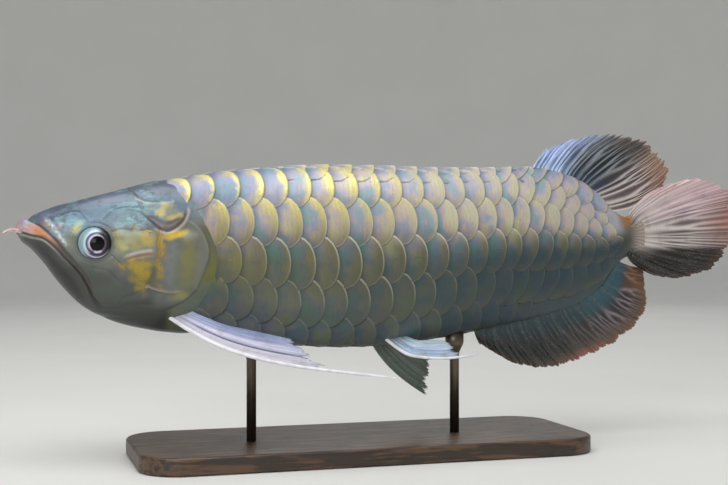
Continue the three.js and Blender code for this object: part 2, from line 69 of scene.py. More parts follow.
# The floor and the light
# A round studio floor of matt pale board that rises in one curve to a wall all round, lit by a
# large soft lamp overhead, smaller ones in front and behind, and an even pale sky.
class Value:
    """An output socket. Arithmetic on it adds Math nodes to its tree."""

    def __init__(self, tree, socket):
        self.tree = tree
        self.socket = socket

    def math(self, operation, *terms):
        return self.tree.node("ShaderNodeMath", {"operation": operation}, dict(enumerate(terms)))

    def __add__(self, other):
        return self.math("ADD", self, other)

    def __radd__(self, other):
        return self.math("ADD", other, self)

    def __sub__(self, other):
        return self.math("SUBTRACT", self, other)

    def __rsub__(self, other):
        return self.math("SUBTRACT", other, self)

    def __mul__(self, other):
        return self.math("MULTIPLY", self, other)

    def __rmul__(self, other):
        return self.math("MULTIPLY", other, self)

    def sine(self):
        return self.math("SINE", self)

    def absolute(self):
        return self.math("ABSOLUTE", self)

    def rising(self, low, high):
        """0 below low, 1 above high, and a soft rise between."""
        settings = {"interpolation_type": "SMOOTHSTEP"}
        return self.tree.node("ShaderNodeMapRange", settings, {"Value": self, 1: low, 2: high})


class Nodes:
    """A node tree that is filled node by node."""

    def __init__(self, tree):
        self.tree = tree

    def node(self, kind, settings=None, sockets=None, output=0):
        """Adds a node: its settings, then values or links of sockets by place or identifier."""
        made = self.tree.nodes.new(kind)
        for name, value in (settings or {}).items():
            if name == "stops":
                self.set_stops(made.color_ramp, value)
            else:
                setattr(made, name, value)
        for key, value in (sockets or {}).items():
            self.feed(self.pick(made.inputs, key), value)
        return Value(self, self.pick(made.outputs, output))

    def pick(self, sockets, key):
        if isinstance(key, int):
            return sockets[key]
        return next(socket for socket in sockets if socket.identifier == key)

    def feed(self, socket, value):
        if isinstance(value, Value):
            self.tree.links.new(value.socket, socket)
        else:
            socket.default_value = value

    def set_stops(self, ramp, stops):
        while len(ramp.elements) < len(stops):
            ramp.elements.new(0.5)
        for element, (place, colour) in zip(ramp.elements, stops):
            element.position = place
            element.color = colour


class Finish(Nodes):
    """A material with one main shader."""

    def __init__(self, name, **constants):
        self.material = bpy.data.materials.new(name)
        self.material.use_nodes = True
        super().__init__(self.material.node_tree)
        self.shader = self.tree.nodes["Principled BSDF"]
        self.place = self.node("ShaderNodeTexCoord", output="Object")
        for socket, value in constants.items():
            self.surface(socket.replace("_", " "), value)

    def surface(self, socket, value):
        self.feed(self.pick(self.shader.inputs, socket), value)

    def mix(self, first, second, share, blend="MIX"):
        settings = {"data_type": "RGBA", "blend_type": blend}
        sockets = {"Factor_Float": share, "A_Color": first, "B_Color": second}
        return self.node("ShaderNodeMix", settings, sockets, "Result_Color")

    def stained(self, shade, *stains):
        """A colour with stains laid over it in turn, each a colour code and its share."""
        for code, share in stains:
            shade = self.mix(shade, tint(code), share)
        return shade

    def noise(self, scale, detail=2.0, place=None, roughness=0.5):
        sockets = {"Vector": place or self.place, "Scale": scale, "Detail": detail,
                   "Roughness": roughness}
        return self.node("ShaderNodeTexNoise", None, sockets)

    def stretched(self, factors):
        return self.node("ShaderNodeMapping", None, {"Vector": self.place, "Scale": factors})

    def attribute(self, name, output="Fac"):
        return self.node("ShaderNodeAttribute", {"attribute_name": name}, None, output)

    def relief(self, height, depth):
        """Fine relief of the surface, as deep as depth where height is 1."""
        bump = self.node("ShaderNodeBump", None, {"Height": height, "Distance": depth})
        self.surface("Normal", bump)


def tint(code):
    """A colour written as 0xRRGGBB, as the shaders take it."""
    parts = [(code >> shift & 255) / 255 for shift in (16, 8, 0)]
    return tuple(c / 12.92 if c < 0.04 else ((c + 0.055) / 1.055) ** 2.4 for c in parts) + (1.0,)


def new_mesh_object(name, points, faces, finish, smooth=True):
    mesh = bpy.data.meshes.new(name)
    mesh.from_pydata(np.asarray(points).tolist(), [], faces)
    mesh.materials.append(finish.material)
    mesh.shade_smooth() if smooth else mesh.shade_flat()
    mesh.update()
    made = bpy.data.objects.new(name, mesh)
    bpy.context.collection.objects.link(made)
    return made


def ring_faces(rings, steps, total):
    """Faces of a closed form of rings, its first and last points standing at the end."""
    faces = []
    for step in range(steps):
        after = (step + 1) % steps
        last = (rings - 1) * steps
        faces.append((total - 2, step, after))
        faces.append((total - 1, last + after, last + step))
        for ring in range(rings - 1):
            low = ring * steps
            high = low + steps
            faces.append((low + step, high + step, high + after, low + after))
    return faces


def turned_shape(profile, steps):
    """Points and faces of a profile of (radius, height) turned about Z, its ends on the axis."""
    points = []
    for radius, height in profile[1:-1]:
        for step in range(steps):
            angle = 2 * math.pi * step / steps
            points.append((radius * math.cos(angle), radius * math.sin(angle), height))
    points += [(0, 0, profile[0][1]), (0, 0, profile[-1][1])]
    return points, [face[::-1] for face in ring_faces(len(profile) - 2, steps, len(points))]


floor_radius = 3.2
floor_sides = 96
wall_curve = 1.1
wall_curve_steps = 12
wall_height = 3.4

board = Finish("pale_board", Roughness=0.85)
board.surface("Base Color", board.mix(tint(0xE6E5E1), tint(0xDEDDD9), board.noise(6, 3)))

floor_profile = [(floor_radius * share, 0) for share in (0, 0.15, 0.3, 0.5)]
for step in range(wall_curve_steps + 1):
    angle = math.pi / 2 * step / wall_curve_steps
    rise = wall_curve * (1 - math.cos(angle))
    floor_profile.append((floor_radius + wall_curve * math.sin(angle) - wall_curve, rise))
floor_profile += [(floor_radius, wall_height), (0, wall_height)]
floor_points, floor_faces = turned_shape(floor_profile, floor_sides)
lid_point = len(floor_points) - 1
open_faces = [face[::-1] for face in floor_faces if lid_point not in face]
floor = new_mesh_object("studio_floor", floor_points, open_faces, board)

bpy.context.scene.view_settings.view_transform = "Standard"

sky = bpy.data.worlds.new("sky")
sky.use_nodes = True
sky.node_tree.nodes["Background"].inputs["Color"].default_value = tint(0xE6EAF0)
sky.node_tree.nodes["Background"].inputs["Strength"].default_value = 0.45
bpy.context.scene.world = sky

lamps = {
    "overhead": {"place": (-0.25, -0.35, 1.55), "size": (1.6, 1.1), "power": 18},
    "front": {"place": (-1.1, -1.5, 0.75), "size": (1.0, 0.8), "power": 11},
    "behind": {"place": (0.7, 1.6, 1.1), "size": (1.0, 0.8), "power": 3.5},
}
lamp_aim = (0, 0, 0.13)
for name, setting in lamps.items():
    lamp = bpy.data.lights.new(name, "AREA")
    lamp.shape = "RECTANGLE"
    lamp.size, lamp.size_y = setting["size"]
    lamp.energy = setting["power"]
    holder = bpy.data.objects.new(name, lamp)
    holder.location = setting["place"]
    toward = [aim - here for aim, here in zip(lamp_aim, setting["place"])]
    flat = math.hypot(toward[0], toward[1])
    holder.rotation_euler = (math.atan2(flat, -toward[2]), 0, math.atan2(-toward[0], toward[1]))
    bpy.context.collection.objects.link(holder)


# The fish's form
# The cast body of the model: one closed skin from the lips to the tail root, bent a little
# sideways. Everything else on the fish is laid on it or grows from it.
body_length = 419 * mm
body_depth = 118 * mm
body_width = 60 * mm
snout_x = -213 * mm
tail_x = snout_x + body_length
bend_depth = 21 * mm
widest_level = 0.52  # share of the height from belly to back
section_steps = 721
form_rings = 900
form_ways = 361

# Share of the length, upper and lower edge, half width, squareness of the upper and lower half.
sections = np.array([
    (0.000, 0.068, 0.056, 0.050, 2.0, 2.0),
    (0.007, 0.113, 0.010, 0.135, 2.3, 2.0),
    (0.019, 0.134, -0.028, 0.185, 2.5, 2.0),
    (0.036, 0.163, -0.093, 0.228, 2.6, 1.9),
    (0.057, 0.192, -0.195, 0.270, 2.7, 1.8),
    (0.088, 0.222, -0.314, 0.318, 2.8, 1.8),
    (0.129, 0.260, -0.398, 0.375, 2.8, 1.8),
    (0.191, 0.320, -0.458, 0.440, 2.6, 1.8),
    (0.272, 0.378, -0.490, 0.475, 2.4, 1.8),
    (0.413, 0.420, -0.562, 0.500, 2.2, 1.9),
    (0.527, 0.424, -0.571, 0.492, 2.1, 1.9),
    (0.632, 0.420, -0.537, 0.450, 2.0, 1.8),
    (0.735, 0.429, -0.481, 0.375, 2.0, 1.8),
    (0.792, 0.437, -0.451, 0.317, 1.9, 1.8),
    (0.845, 0.414, -0.410, 0.258, 1.9, 1.8),
    (0.890, 0.363, -0.359, 0.208, 1.9, 1.8),
    (0.928, 0.273, -0.271, 0.167, 1.9, 1.8),
    (0.957, 0.186, -0.142, 0.133, 2.0, 2.0),
    (0.979, 0.160, -0.095, 0.113, 2.0, 2.0),
    (1.000, 0.156, -0.086, 0.075, 2.0, 2.0),
])
# Sideways place of the midline along the length, as a share of the bend.
bend = np.array([
    (0.00, 0.61), (0.13, 0.24), (0.27, -0.10), (0.41, -0.33), (0.51, -0.38), (0.65, -0.30),
    (0.79, -0.02), (0.94, 0.34), (1.03, 0.55), (1.18, 0.63),
])


def smooth(rows, column, at):
    """Values of a table's column at places along it, by cubics that follow the mean slope."""
    stops = rows[:, 0]
    values = rows[:, column]
    run = np.diff(stops)
    rise = np.diff(values) / run
    inner = (rise[:-1] * run[1:] + rise[1:] * run[:-1]) / (run[:-1] + run[1:])
    slope = np.concatenate((rise[:1], inner, rise[-1:]))
    i = np.clip(np.searchsorted(stops, at, side="right") - 1, 0, len(run) - 1)
    t = np.clip((at - stops[i]) / run[i], 0, 1)
    late = 3 * t ** 2 - 2 * t ** 3
    leaving = (t ** 3 - 2 * t ** 2 + t) * run[i] * slope[i]
    arriving = (t ** 3 - t ** 2) * run[i] * slope[i + 1]
    return (1 - late) * values[i] + late * values[i + 1] + leaving + arriving


def length_share(x):
    return (np.asarray(x) - snout_x) / body_length


def back_z(x):
    return eye_level + body_depth * smooth(sections, 1, length_share(x))


def belly_z(x):
    return eye_level + body_depth * smooth(sections, 2, length_share(x))


def middle_y(x):
    return bend_depth * smooth(bend, 1, length_share(x))


def half_sections(x, shares):
    """Distance out and height at shares of the way round from back to belly, and the way itself."""
    x = np.asarray(x)[:, None]
    angle = np.linspace(0, math.pi, section_steps)[None, :]
    high = back_z(x)
    low = belly_z(x)
    widest = low + widest_level * (high - low)
    up = np.cos(angle)
    across = np.sin(angle)
    share = length_share(x)
    power = np.where(up > 0, smooth(sections, 4, share), smooth(sections, 5, share))
    reach = np.where(up > 0, high - widest, widest - low)
    out = body_width * smooth(sections, 3, share) * across ** (2 / power)
    z = widest + reach * np.sign(up) * np.abs(up) ** (2 / power)
    steps = np.hypot(np.diff(out, axis=1), np.diff(z, axis=1))
    way = np.concatenate((np.zeros((len(x), 1)), np.cumsum(steps, axis=1)), axis=1)
    outs = np.array([np.interp(shares * w[-1], w, o) for w, o in zip(way, out)])
    heights = np.array([np.interp(shares * w[-1], w, h) for w, h in zip(way, z)])
    return outs, heights, way[:, -1]


form_x = np.linspace(snout_x, tail_x, form_rings)
form_shares = np.linspace(0, 1, form_ways)
form_out, form_height, form_way = half_sections(form_x, form_shares)


def on_form(x, around):
    """Places on the form. around runs from 0 on the back to 1 on the belly, minus on the right."""
    share = np.abs(around)
    beyond = share > 1
    share = np.where(beyond, 2 - share, share)
    side = np.where(around < 0, -1, 1) * np.where(beyond, -1, 1)
    column = np.clip(share, 0, 1) * (form_ways - 1)
    row = np.clip(length_share(x), 0, 1) * (form_rings - 1)
    i = np.minimum(row.astype(int), form_rings - 2)
    j = np.minimum(column.astype(int), form_ways - 2)
    a = row - i
    b = column - j

    def between(table):
        near = table[i, j] * (1 - b) + table[i, j + 1] * b
        far = table[i + 1, j] * (1 - b) + table[i + 1, j + 1] * b
        return near * (1 - a) + far * a

    return np.stack((x, middle_y(x) - side * between(form_out), between(form_height)), axis=-1)


def girth_way(x):
    """Length of the way from back to belly at x."""
    return np.interp(x, form_x, form_way)


def unit(vectors):
    return vectors / np.maximum(np.linalg.norm(vectors, axis=-1, keepdims=True), 1e-12)


def form_normal(x, around):
    """Outward direction of the form, from small steps along and around it."""
    step_x = 0.6 * mm
    step_around = 0.006
    low_x = np.maximum(x - step_x, snout_x)
    high_x = np.minimum(x + step_x, tail_x)
    along = on_form(high_x, around) - on_form(low_x, around)
    down = on_form(x, around + step_around) - on_form(x, around - step_around)
    return unit(np.cross(down, along))


def soft_step(value, low, high):
    """A soft rise from 0 at low to 1 at high. Low may be the greater of the two."""
    t = np.clip((value - low) / (high - low), 0, 1)
    return t * t * (3 - 2 * t)


def hump(distance, width):
    """1 where the distance is 0, falling away on both sides."""
    return np.exp(-(distance / width) ** 2)


def line_distance(line, x, z):
    """Distance to a line of points, with a minus on its right side, and the share run along it."""
    line = np.array(line, float)
    best = np.full(np.shape(x), np.inf)
    signed = np.zeros(np.shape(x))
    along = np.zeros(np.shape(x))
    lengths = np.hypot(*np.diff(line, axis=0).T)
    starts = np.concatenate(([0], np.cumsum(lengths)))
    for (x0, z0), (x1, z1), length, start in zip(line[:-1], line[1:], lengths, starts):
        ux = (x1 - x0) / length
        uz = (z1 - z0) / length
        run = np.clip((x - x0) * ux + (z - z0) * uz, 0, length)
        gap = np.hypot(x - x0 - ux * run, z - z0 - uz * run)
        side = np.where(ux * (z - z0) - uz * (x - x0) < 0, -1.0, 1.0)
        nearer = gap < best
        best = np.where(nearer, gap, best)
        signed = np.where(nearer, side * gap, signed)
        along = np.where(nearer, (start + run) / starts[-1], along)
    return signed, along


def away_from(place, x, z):
    return np.hypot(x - place[0], z - place[1])


def rounded(line, steps=6):
    """A line of points with its corners rounded, as a spline drawn through them."""
    line = np.array(line, float)
    way = np.concatenate(([0], np.cumsum(np.hypot(*np.diff(line, axis=0).T))))
    rows = np.column_stack((way, line))
    at = np.linspace(0, way[-1], steps * (len(line) - 1) + 1)
    return np.column_stack((smooth(rows, 1, at), smooth(rows, 2, at)))


def mottle(x, z, size):
    """Soft irregular patches between 0 and 1, a few sizes apart."""
    a = np.sin(1.9 * x / size + 1.3 * np.sin(1.1 * z / size))
    b = np.sin(2.3 * z / size + 1.7 * np.sin(0.7 * x / size + 2))
    c = np.sin(1.3 * (x + z) / size + 1.1 * np.sin(1.7 * (x - z) / size))
    return 0.5 + (a + b + c) / 6


# Head and trunk skin
# One skin cast over the whole fish, smooth on the head, with lips, jaw bones, cheek plates,
# gill covers and eye sockets worked into it. It is stained in layers, painted shade and painted
# highlights among them, under a clear gloss.
# Places on the head are in millimetres: X, and height from the eye, seen from the side.
head_depth = 0.6  # how far the bare skin of the head lies inside the form, in millimetres
coat_depth = 2.0  # the same under the scales
eye_place = (-168.2, -0.3)
socket_radius = 9.2

mouth_line = rounded([
    (-213.6, 8.2), (-208.2, 5.4), (-204.3, 4.2), (-197.6, 2.7), (-193.6, 0.0), (-189.7, -3.7),
    (-184.9, -9.1), (-179.0, -15.3), (-174.4, -21.5), (-171.4, -27), (-168.6, -33),
    (-165.0, -37.2), (-160.0, -38.8),
])
lip_line = rounded([
    (-206.2, 16.0), (-205.0, 13.8), (-202.7, 12.0), (-199.9, 10.4), (-195.2, 6.3),
    (-189.7, 0.9), (-184.5, -5.8), (-177.8, -13.8), (-173.5, -19.5), (-170.3, -25),
    (-168.2, -30.5),
])
snout_ridge = rounded([(-199, 14.5), (-195.2, 12.5), (-192.4, 10), (-189.7, 6.3), (-184.3, -1.4)])
fold_low = rounded([
    (-148.4, 31.8), (-144.4, 28.1), (-143.3, 22.3), (-140.3, 16.5), (-135.2, 11.7),
    (-130.6, 7.7), (-126.0, 7.0), (-121.9, 9.1), (-117.8, 13.3), (-115.5, 18.5),
])
fold_high = rounded([(-139.8, 15.4), (-136.2, 15.1), (-131.1, 12.8), (-126, 11.4), (-119, 14.6)])
ear_plate = rounded([(-143.3, 27.0), (-138.3, 24.6), (-132.2, 24.4), (-124.0, 24.9)])
cover_margin = rounded([
    (-119.5, 20.5), (-116.7, 15.5), (-109.5, 10.2), (-104.8, 2.8), (-102.7, -4.7),
    (-103.2, -10.5), (-106.1, -19.5), (-109.6, -28.2), (-115.4, -34.1), (-121.7, -38.2),
    (-131.0, -41.0), (-142, -43.5),
])
preopercle_line = rounded([
    (-130.6, 5.9), (-132.2, -0.4), (-131.8, -7.3), (-133.2, -14.1), (-135.2, -20.5),
    (-138.0, -25.5), (-143, -30), (-152, -33.5),
])
cover_seam = rounded([(-137.8, -27.2), (-132, -29.5), (-124, -30.8), (-116, -30)])
cheek_ridge = rounded([(-153, -10.2), (-148, -8.2), (-140.3, -6.2), (-133.6, -5.6)])
cheek_edge = rounded([(-165, -38.8), (-157.6, -39.2), (-143.5, -37.2), (-130, -37.5)])
fine_seams = [
    rounded([(-158.5, -7.5), (-154, -12), (-150.5, -15.5)]),
    rounded([(-169.5, -14.5), (-160, -17), (-154.5, -22.5)]),
    rounded([(-158.5, 6.5), (-152, 7.8), (-143, 7.0), (-134, 8.5)]),
    rounded([(-172, 12.5), (-177.5, 18.7), (-184.9, 17.2), (-189, 15)]),
    rounded([(-163, 14.5), (-158, 19), (-149, 21.5), (-143.5, 21)]),
    rounded([(-150.5, 35.5), (-147.1, 32.2), (-143.3, 27.6)]),
]
nostril = (-186.1, 12.8)
nostril_flap = (-187.6, 9.6)
front_nostril = (-193.0, 14.6)


def behind_head(around):
    """X in millimetres where the scales begin, from the nape round to the throat."""
    rows = np.array([
        (0.00, -129), (0.12, -126), (0.22, -118), (0.30, -112), (0.38, -105), (0.50, -100),
        (0.62, -101), (0.72, -106), (0.80, -112), (0.88, -114), (1.00, -112),
    ])
    return smooth(rows, 1, np.minimum(np.abs(around), 1))


def skin_depth(x, around, z):
    """How far the smooth skin lies inside the form, in millimetres."""
    scaled = soft_step(x, behind_head(around) - 5, behind_head(around) + 9)
    depth = head_depth + (coat_depth - head_depth) * scaled
    behind, _ = line_distance(cover_margin, x, z)
    low_side = soft_step(z, 16, 8)
    tuck = soft_step(behind, -0.6, 0.9) * np.exp(-np.maximum(behind, 0) / 6.5)
    near_head = soft_step(x, -60, -85) * soft_step(x, -128, -119)
    return depth + tuck * low_side * near_head


def head_relief(x, z):
    """Height of the head's features over the smooth skin, in millimetres."""
    rise = np.zeros(np.shape(x))
    on_head = soft_step(x, -96, -102)

    mouth, mouth_run = line_distance(mouth_line, x, z)
    rise -= 1.6 * hump(mouth, 0.65) * soft_step(mouth_run, 1.0, 0.9)
    rise += 0.2 * hump(mouth + 1.5, 0.9) * soft_step(mouth_run, 0.97, 0.8) * (mouth < 0)
    lip, lip_run = line_distance(lip_line, x, z)
    lip_body = soft_step(mouth, 0.3, 1.6) * soft_step(lip, 0.4, -1.2) * soft_step(x, -166, -172)
    rise += lip_body * (0.5 + 0.35 * soft_step(x, -196, -204))
    rise -= 0.95 * hump(lip, 0.6) * soft_step(lip_run, 1.0, 0.85) * (z < 16)
    rise -= 0.7 * hump(x + 205.0, 1.3) * soft_step(z, 10, 14)
    ridge, ridge_run = line_distance(snout_ridge, x, z)
    rise += 0.75 * hump(ridge, 1.2) * soft_step(ridge_run, 0, 0.2)

    rise -= 0.9 * hump(away_from(nostril, x, z), 1.1)
    rise -= 0.4 * hump(away_from(front_nostril, x, z), 0.7)
    rise += 0.9 * hump(away_from(nostril_flap, x, z), 1.5)

    eye = away_from(eye_place, x, z)
    rise += 0.45 * hump(eye - socket_radius - 0.9, 0.8)
    rise -= 0.35 * hump(eye - socket_radius - 2.7, 0.7)
    rise -= 7.5 * soft_step(eye, socket_radius, socket_radius - 1.1)
    outside = soft_step(eye, socket_radius + 0.6, socket_radius + 2.2)

    for seam in fine_seams:
        rise -= 0.32 * hump(line_distance(seam, x, z)[0], 0.45) * outside
    cheek, cheek_run = line_distance(cheek_ridge, x, z)
    cheek_span = soft_step(cheek_run, 0, 0.25) * soft_step(cheek_run, 1, 0.85)
    rise += 0.45 * hump(cheek - 0.4, 0.8) * cheek_span * outside
    rise -= 0.4 * hump(cheek + 1.2, 1.0) * cheek_span * outside

    fold, fold_run = line_distance(fold_low, x, z)
    fold_body = soft_step(fold_run, 0.25, 0.5)
    rise -= (0.4 + 0.8 * fold_body) * hump(fold, 0.6) * soft_step(fold_run, 1, 0.93)
    rise += 0.45 * hump(fold + 1.7, 1.1) * fold_body
    high, high_run = line_distance(fold_high, x, z)
    rise -= 0.55 * hump(high, 0.6) * soft_step(high_run, 0, 0.15)
    plate, plate_run = line_distance(ear_plate, x, z)
    rise -= 0.4 * hump(plate, 0.5) * soft_step(plate_run, 1, 0.8)
    rise += 0.3 * hump(plate + 1.2, 1.0)

    rear, _ = line_distance(preopercle_line, x, z)
    rise -= 0.4 * hump(rear, 0.8)
    rise += 0.35 * soft_step(rear, 0.4, 1.6) * soft_step(rear, 9, 3)
    seam, seam_run = line_distance(cover_seam, x, z)
    rise -= 0.5 * hump(seam, 0.6) * soft_step(seam_run, 1, 0.8)
    rise += 0.4 * hump(seam - 1.1, 0.9) * soft_step(seam_run, 0.9, 0.6)
    edge, edge_run = line_distance(cheek_edge, x, z)
    rise -= 0.55 * hump(edge, 0.7) * soft_step(edge_run, 1, 0.9)

    cover, cover_run = line_distance(cover_margin, x, z)
    rise += 0.12 * hump(cover + 1.2, 1.2) * soft_step(cover_run, 0.6, 0.4)
    throat = soft_step(cheek_edge_height(x) - z, 0.5, 3) * soft_step(x, -172, -160)
    throat *= soft_step(cover, 1, -1)
    struts = np.sin((x * 0.35 + z + 0.006 * (x + 140) ** 2) * 1.35)
    rise += 0.2 * throat * struts
    return rise * on_head


def cheek_edge_height(x):
    return np.interp(x, cheek_edge[:, 0], cheek_edge[:, 1])


# Stains of the flank by share of the way round from back to belly, at mid length. From the
# upper flank down past the lateral line they darken, partly the fish's colour and partly painted
# shade under the light from above; the belly is paler again. The scales are stained by the same
# rule.
flank_stains_and_shade = [
    (0.00, 0x62646C), (0.05, 0x8A8C94), (0.11, 0xAEB0B6), (0.18, 0xBCC0C0), (0.28, 0xABB1B0),
    (0.35, 0x9FA39A), (0.42, 0x7A7C6E), (0.46, 0x5E6A62), (0.52, 0x50605B), (0.60, 0x44544F),
    (0.78, 0x495550), (0.90, 0x5A6866), (1.00, 0x6E7878),
]


def gradient(stops, share):
    """Colours between the stops of a list of (share, colour)."""
    places = [place for place, _ in stops]
    channels = zip(*(tint(code)[:3] for _, code in stops))
    return np.stack([np.interp(share, places, channel) for channel in channels], axis=-1)


def flank_colours(x, around):
    """Stains and painted shade of the trunk at X in millimetres and a share of the way round."""
    share = np.abs(around)
    colours = gradient(flank_stains_and_shade, share)
    colours = stained(
        colours,
        (0.8 * soft_step(x, -20, -92) * soft_step(share, 0.4, 0.2), 0x8993AC),
        (0.6 * soft_step(x, 30, -60) * hump(share - 0.56, 0.12), 0x67694D),
        (0.85 * soft_step(x, 20, -80) * soft_step(share, 0.76, 0.9), 0x6B7982),
        (0.6 * soft_step(x, 80, 150) * soft_step(share, 0.5, 0.3), 0xA9A6B4),
        # Dark teal over the lower rear flank: partly its colour, partly painted shade.
        (0.9 * soft_step(x, 10, 110) * soft_step(share, 0.46, 0.60), 0x223942),
        (0.5 * hump(x + 45, 34) * hump(share - 0.72, 0.13), 0x737868),
    )
    behind_cover = soft_step(x, -82, -97) * hump(share - 0.45, 0.2)
    colours = stained(
        colours,
        (0.75 * behind_cover, 0x64633C),
        (soft_step(x, 184, 198), 0x3E403C),
        (0.8 * soft_step(x, 186, 198) * soft_step(share, 0.6, 0.4), 0x5C5856),
    )
    patch = soft_step(x, 186, 191) * soft_step(x, 203, 197) * hump(share - 0.14, 0.16)
    return stained(colours, (patch, 0xA87238))


def plain(code, like):
    """One colour, as many times as there are values."""
    return np.tile(np.array(tint(code)[:3]), like.shape + (1,))


def blended(under, over, mask):
    """Colours under a mask of others, which hide them where the mask is 1."""
    mask = np.clip(mask, 0, 1)[..., None]
    return under * (1 - mask) + over * mask


def stained(colours, *stains):
    """Colours with stains laid over them in turn, each a mask and a colour."""
    for mask, code in stains:
        colours = blended(colours, np.array(tint(code)[:3]), mask)
    return colours


def spot(x, z, centre, size, turn=0.0, ragged=0.35):
    """A soft patch with a ragged edge, half its strength at its size from the centre."""
    angle = math.radians(turn)
    a = ((x - centre[0]) * math.cos(angle) + (z - centre[1]) * math.sin(angle)) / size[0]
    b = ((z - centre[1]) * math.cos(angle) - (x - centre[0]) * math.sin(angle)) / size[1]
    edge = np.hypot(a, b) + 1.3 * ragged * (mottle(x, z, 2.3) - 0.5)
    return soft_step(edge, 1.8, 0.2)


# Brush marks on the side of the head: strength, place, size, turn in degrees, raggedness, stain.
crown_marks = [
    (0.70, (-180, 13), (15, 7), 22, 0.3, 0x66809A),
    (0.55, (-163, 21), (22, 8), 15, 0.5, 0x7A98AA),
    (0.55, (-146, 20), (9, 7), 10, 0.6, 0x80A2A6),
    (0.40, (-155, 27), (9, 4), 15, 0.6, 0x74848F),
    (0.35, (-172, 20), (6, 3), 20, 0.6, 0x66788A),
    (0.75, (-132, 35), (20, 9), 12, 0.2, 0x66717F),
    (0.50, (-136, 21), (6, 3), -10, 0.4, 0xA2B4B4),
    (0.75, (-197, 17), (10, 4), 30, 0.3, 0x48546C),
    (0.80, (-183, 21), (14, 5), 25, 0.4, 0x3A4C60),
]
cheek_marks = [
    (0.60, (-184, -7), (7, 5), -45, 0.3, 0x5B5957),
    (0.85, (-178.6, 8.4), (4.2, 2.2), 45, 0.4, 0xC9CB8C),
    (0.50, (-182.0, 0.5), (2.2, 5), 0, 0.4, 0x858A70),
    (0.60, (-173, -15.5), (6, 3.5), -20, 0.4, 0x4A524C),
    (0.75, (-152, 1.0), (9, 7), 0, 0.8, 0x83875F),
    (0.70, (-147.4, 2.0), (10, 5), 10, 0.9, 0x9A985C),
    (0.70, (-155.5, 6.0), (4, 2.2), 10, 0.6, 0xA98F58),
    (0.30, (-150.4, 0.6), (3.4, 2.0), 0, 0.9, 0xB4AEA8),
    (0.75, (-151.5, -3.0), (3.2, 1.6), -15, 0.5, 0xB6B272),
    (0.45, (-144, 6.5), (5, 2.2), 0, 0.6, 0xB3A888),
    (0.55, (-161, -13), (6, 4), 30, 0.4, 0x6E7069),
    (0.55, (-152, -18), (6, 5), 60, 0.4, 0x66646A),
    (0.50, (-155, -28), (9, 5), 20, 0.5, 0x4C564E),
    (0.40, (-139, -31), (5, 3), 10, 0.5, 0x605C68),
]
cover_marks = [
    (0.55, (-125.0, -13), (5.0, 12), -4, 0.9, 0x7A828A),
    (0.75, (-114.5, -14), (6.5, 17), -4, 0.9, 0x716F44),
    (0.45, (-115.0, -12), (3.6, 10), -4, 1.1, 0x817D3A),
    (0.50, (-106.8, -6), (3.4, 15), -4, 0.7, 0x74726C),
    (0.70, (-119.0, -32), (4.5, 2.6), 0, 0.4, 0x8E8C4A),
    (0.60, (-114.5, 4.5), (4.0, 2.6), 0, 0.3, 0xA8A49C),
]
gold_marks = [
    (0.75, (-138.5, 2.5), (5.5, 5), 0, 0.6, 0xA89652),
    (0.85, (-144.2, -13.4), (9.5, 3.8), 0, 0.6, 0x84763A),
    (0.85, (-141.6, -18.0), (5.6, 6.6), 14, 0.6, 0x8E7E2C),
    (0.70, (-142.0, -25.0), (3.2, 5.6), 10, 0.7, 0x7A6E34),
    (1.00, (-123.2, 4.6), (6.6, 2.2), 14, 0.5, 0xE8CB54),
    (0.80, (-130.4, -1.0), (3.0, 8.0), 6, 1.0, 0x8C7034),
    (0.70, (-131.6, -15.0), (2.6, 9.0), 8, 1.0, 0x7E6A38),
    (0.80, (-129.0, 19.5), (2.4, 4.4), -35, 0.9, 0xD2C27C),
    (0.75, (-122.5, 15.3), (5.4, 1.4), 12, 0.8, 0xC4B468),
    (0.45, (-124.5, 19.0), (5.0, 3.0), -20, 0.9, 0x989874),
]


def brushed(colours, marks, x, z, mask=1.0):
    for strength, centre, size, turn, ragged, code in marks:
        patch = spot(x, z, centre, size, turn, ragged)
        colours = stained(colours, (strength * mask * patch, code))
    return colours


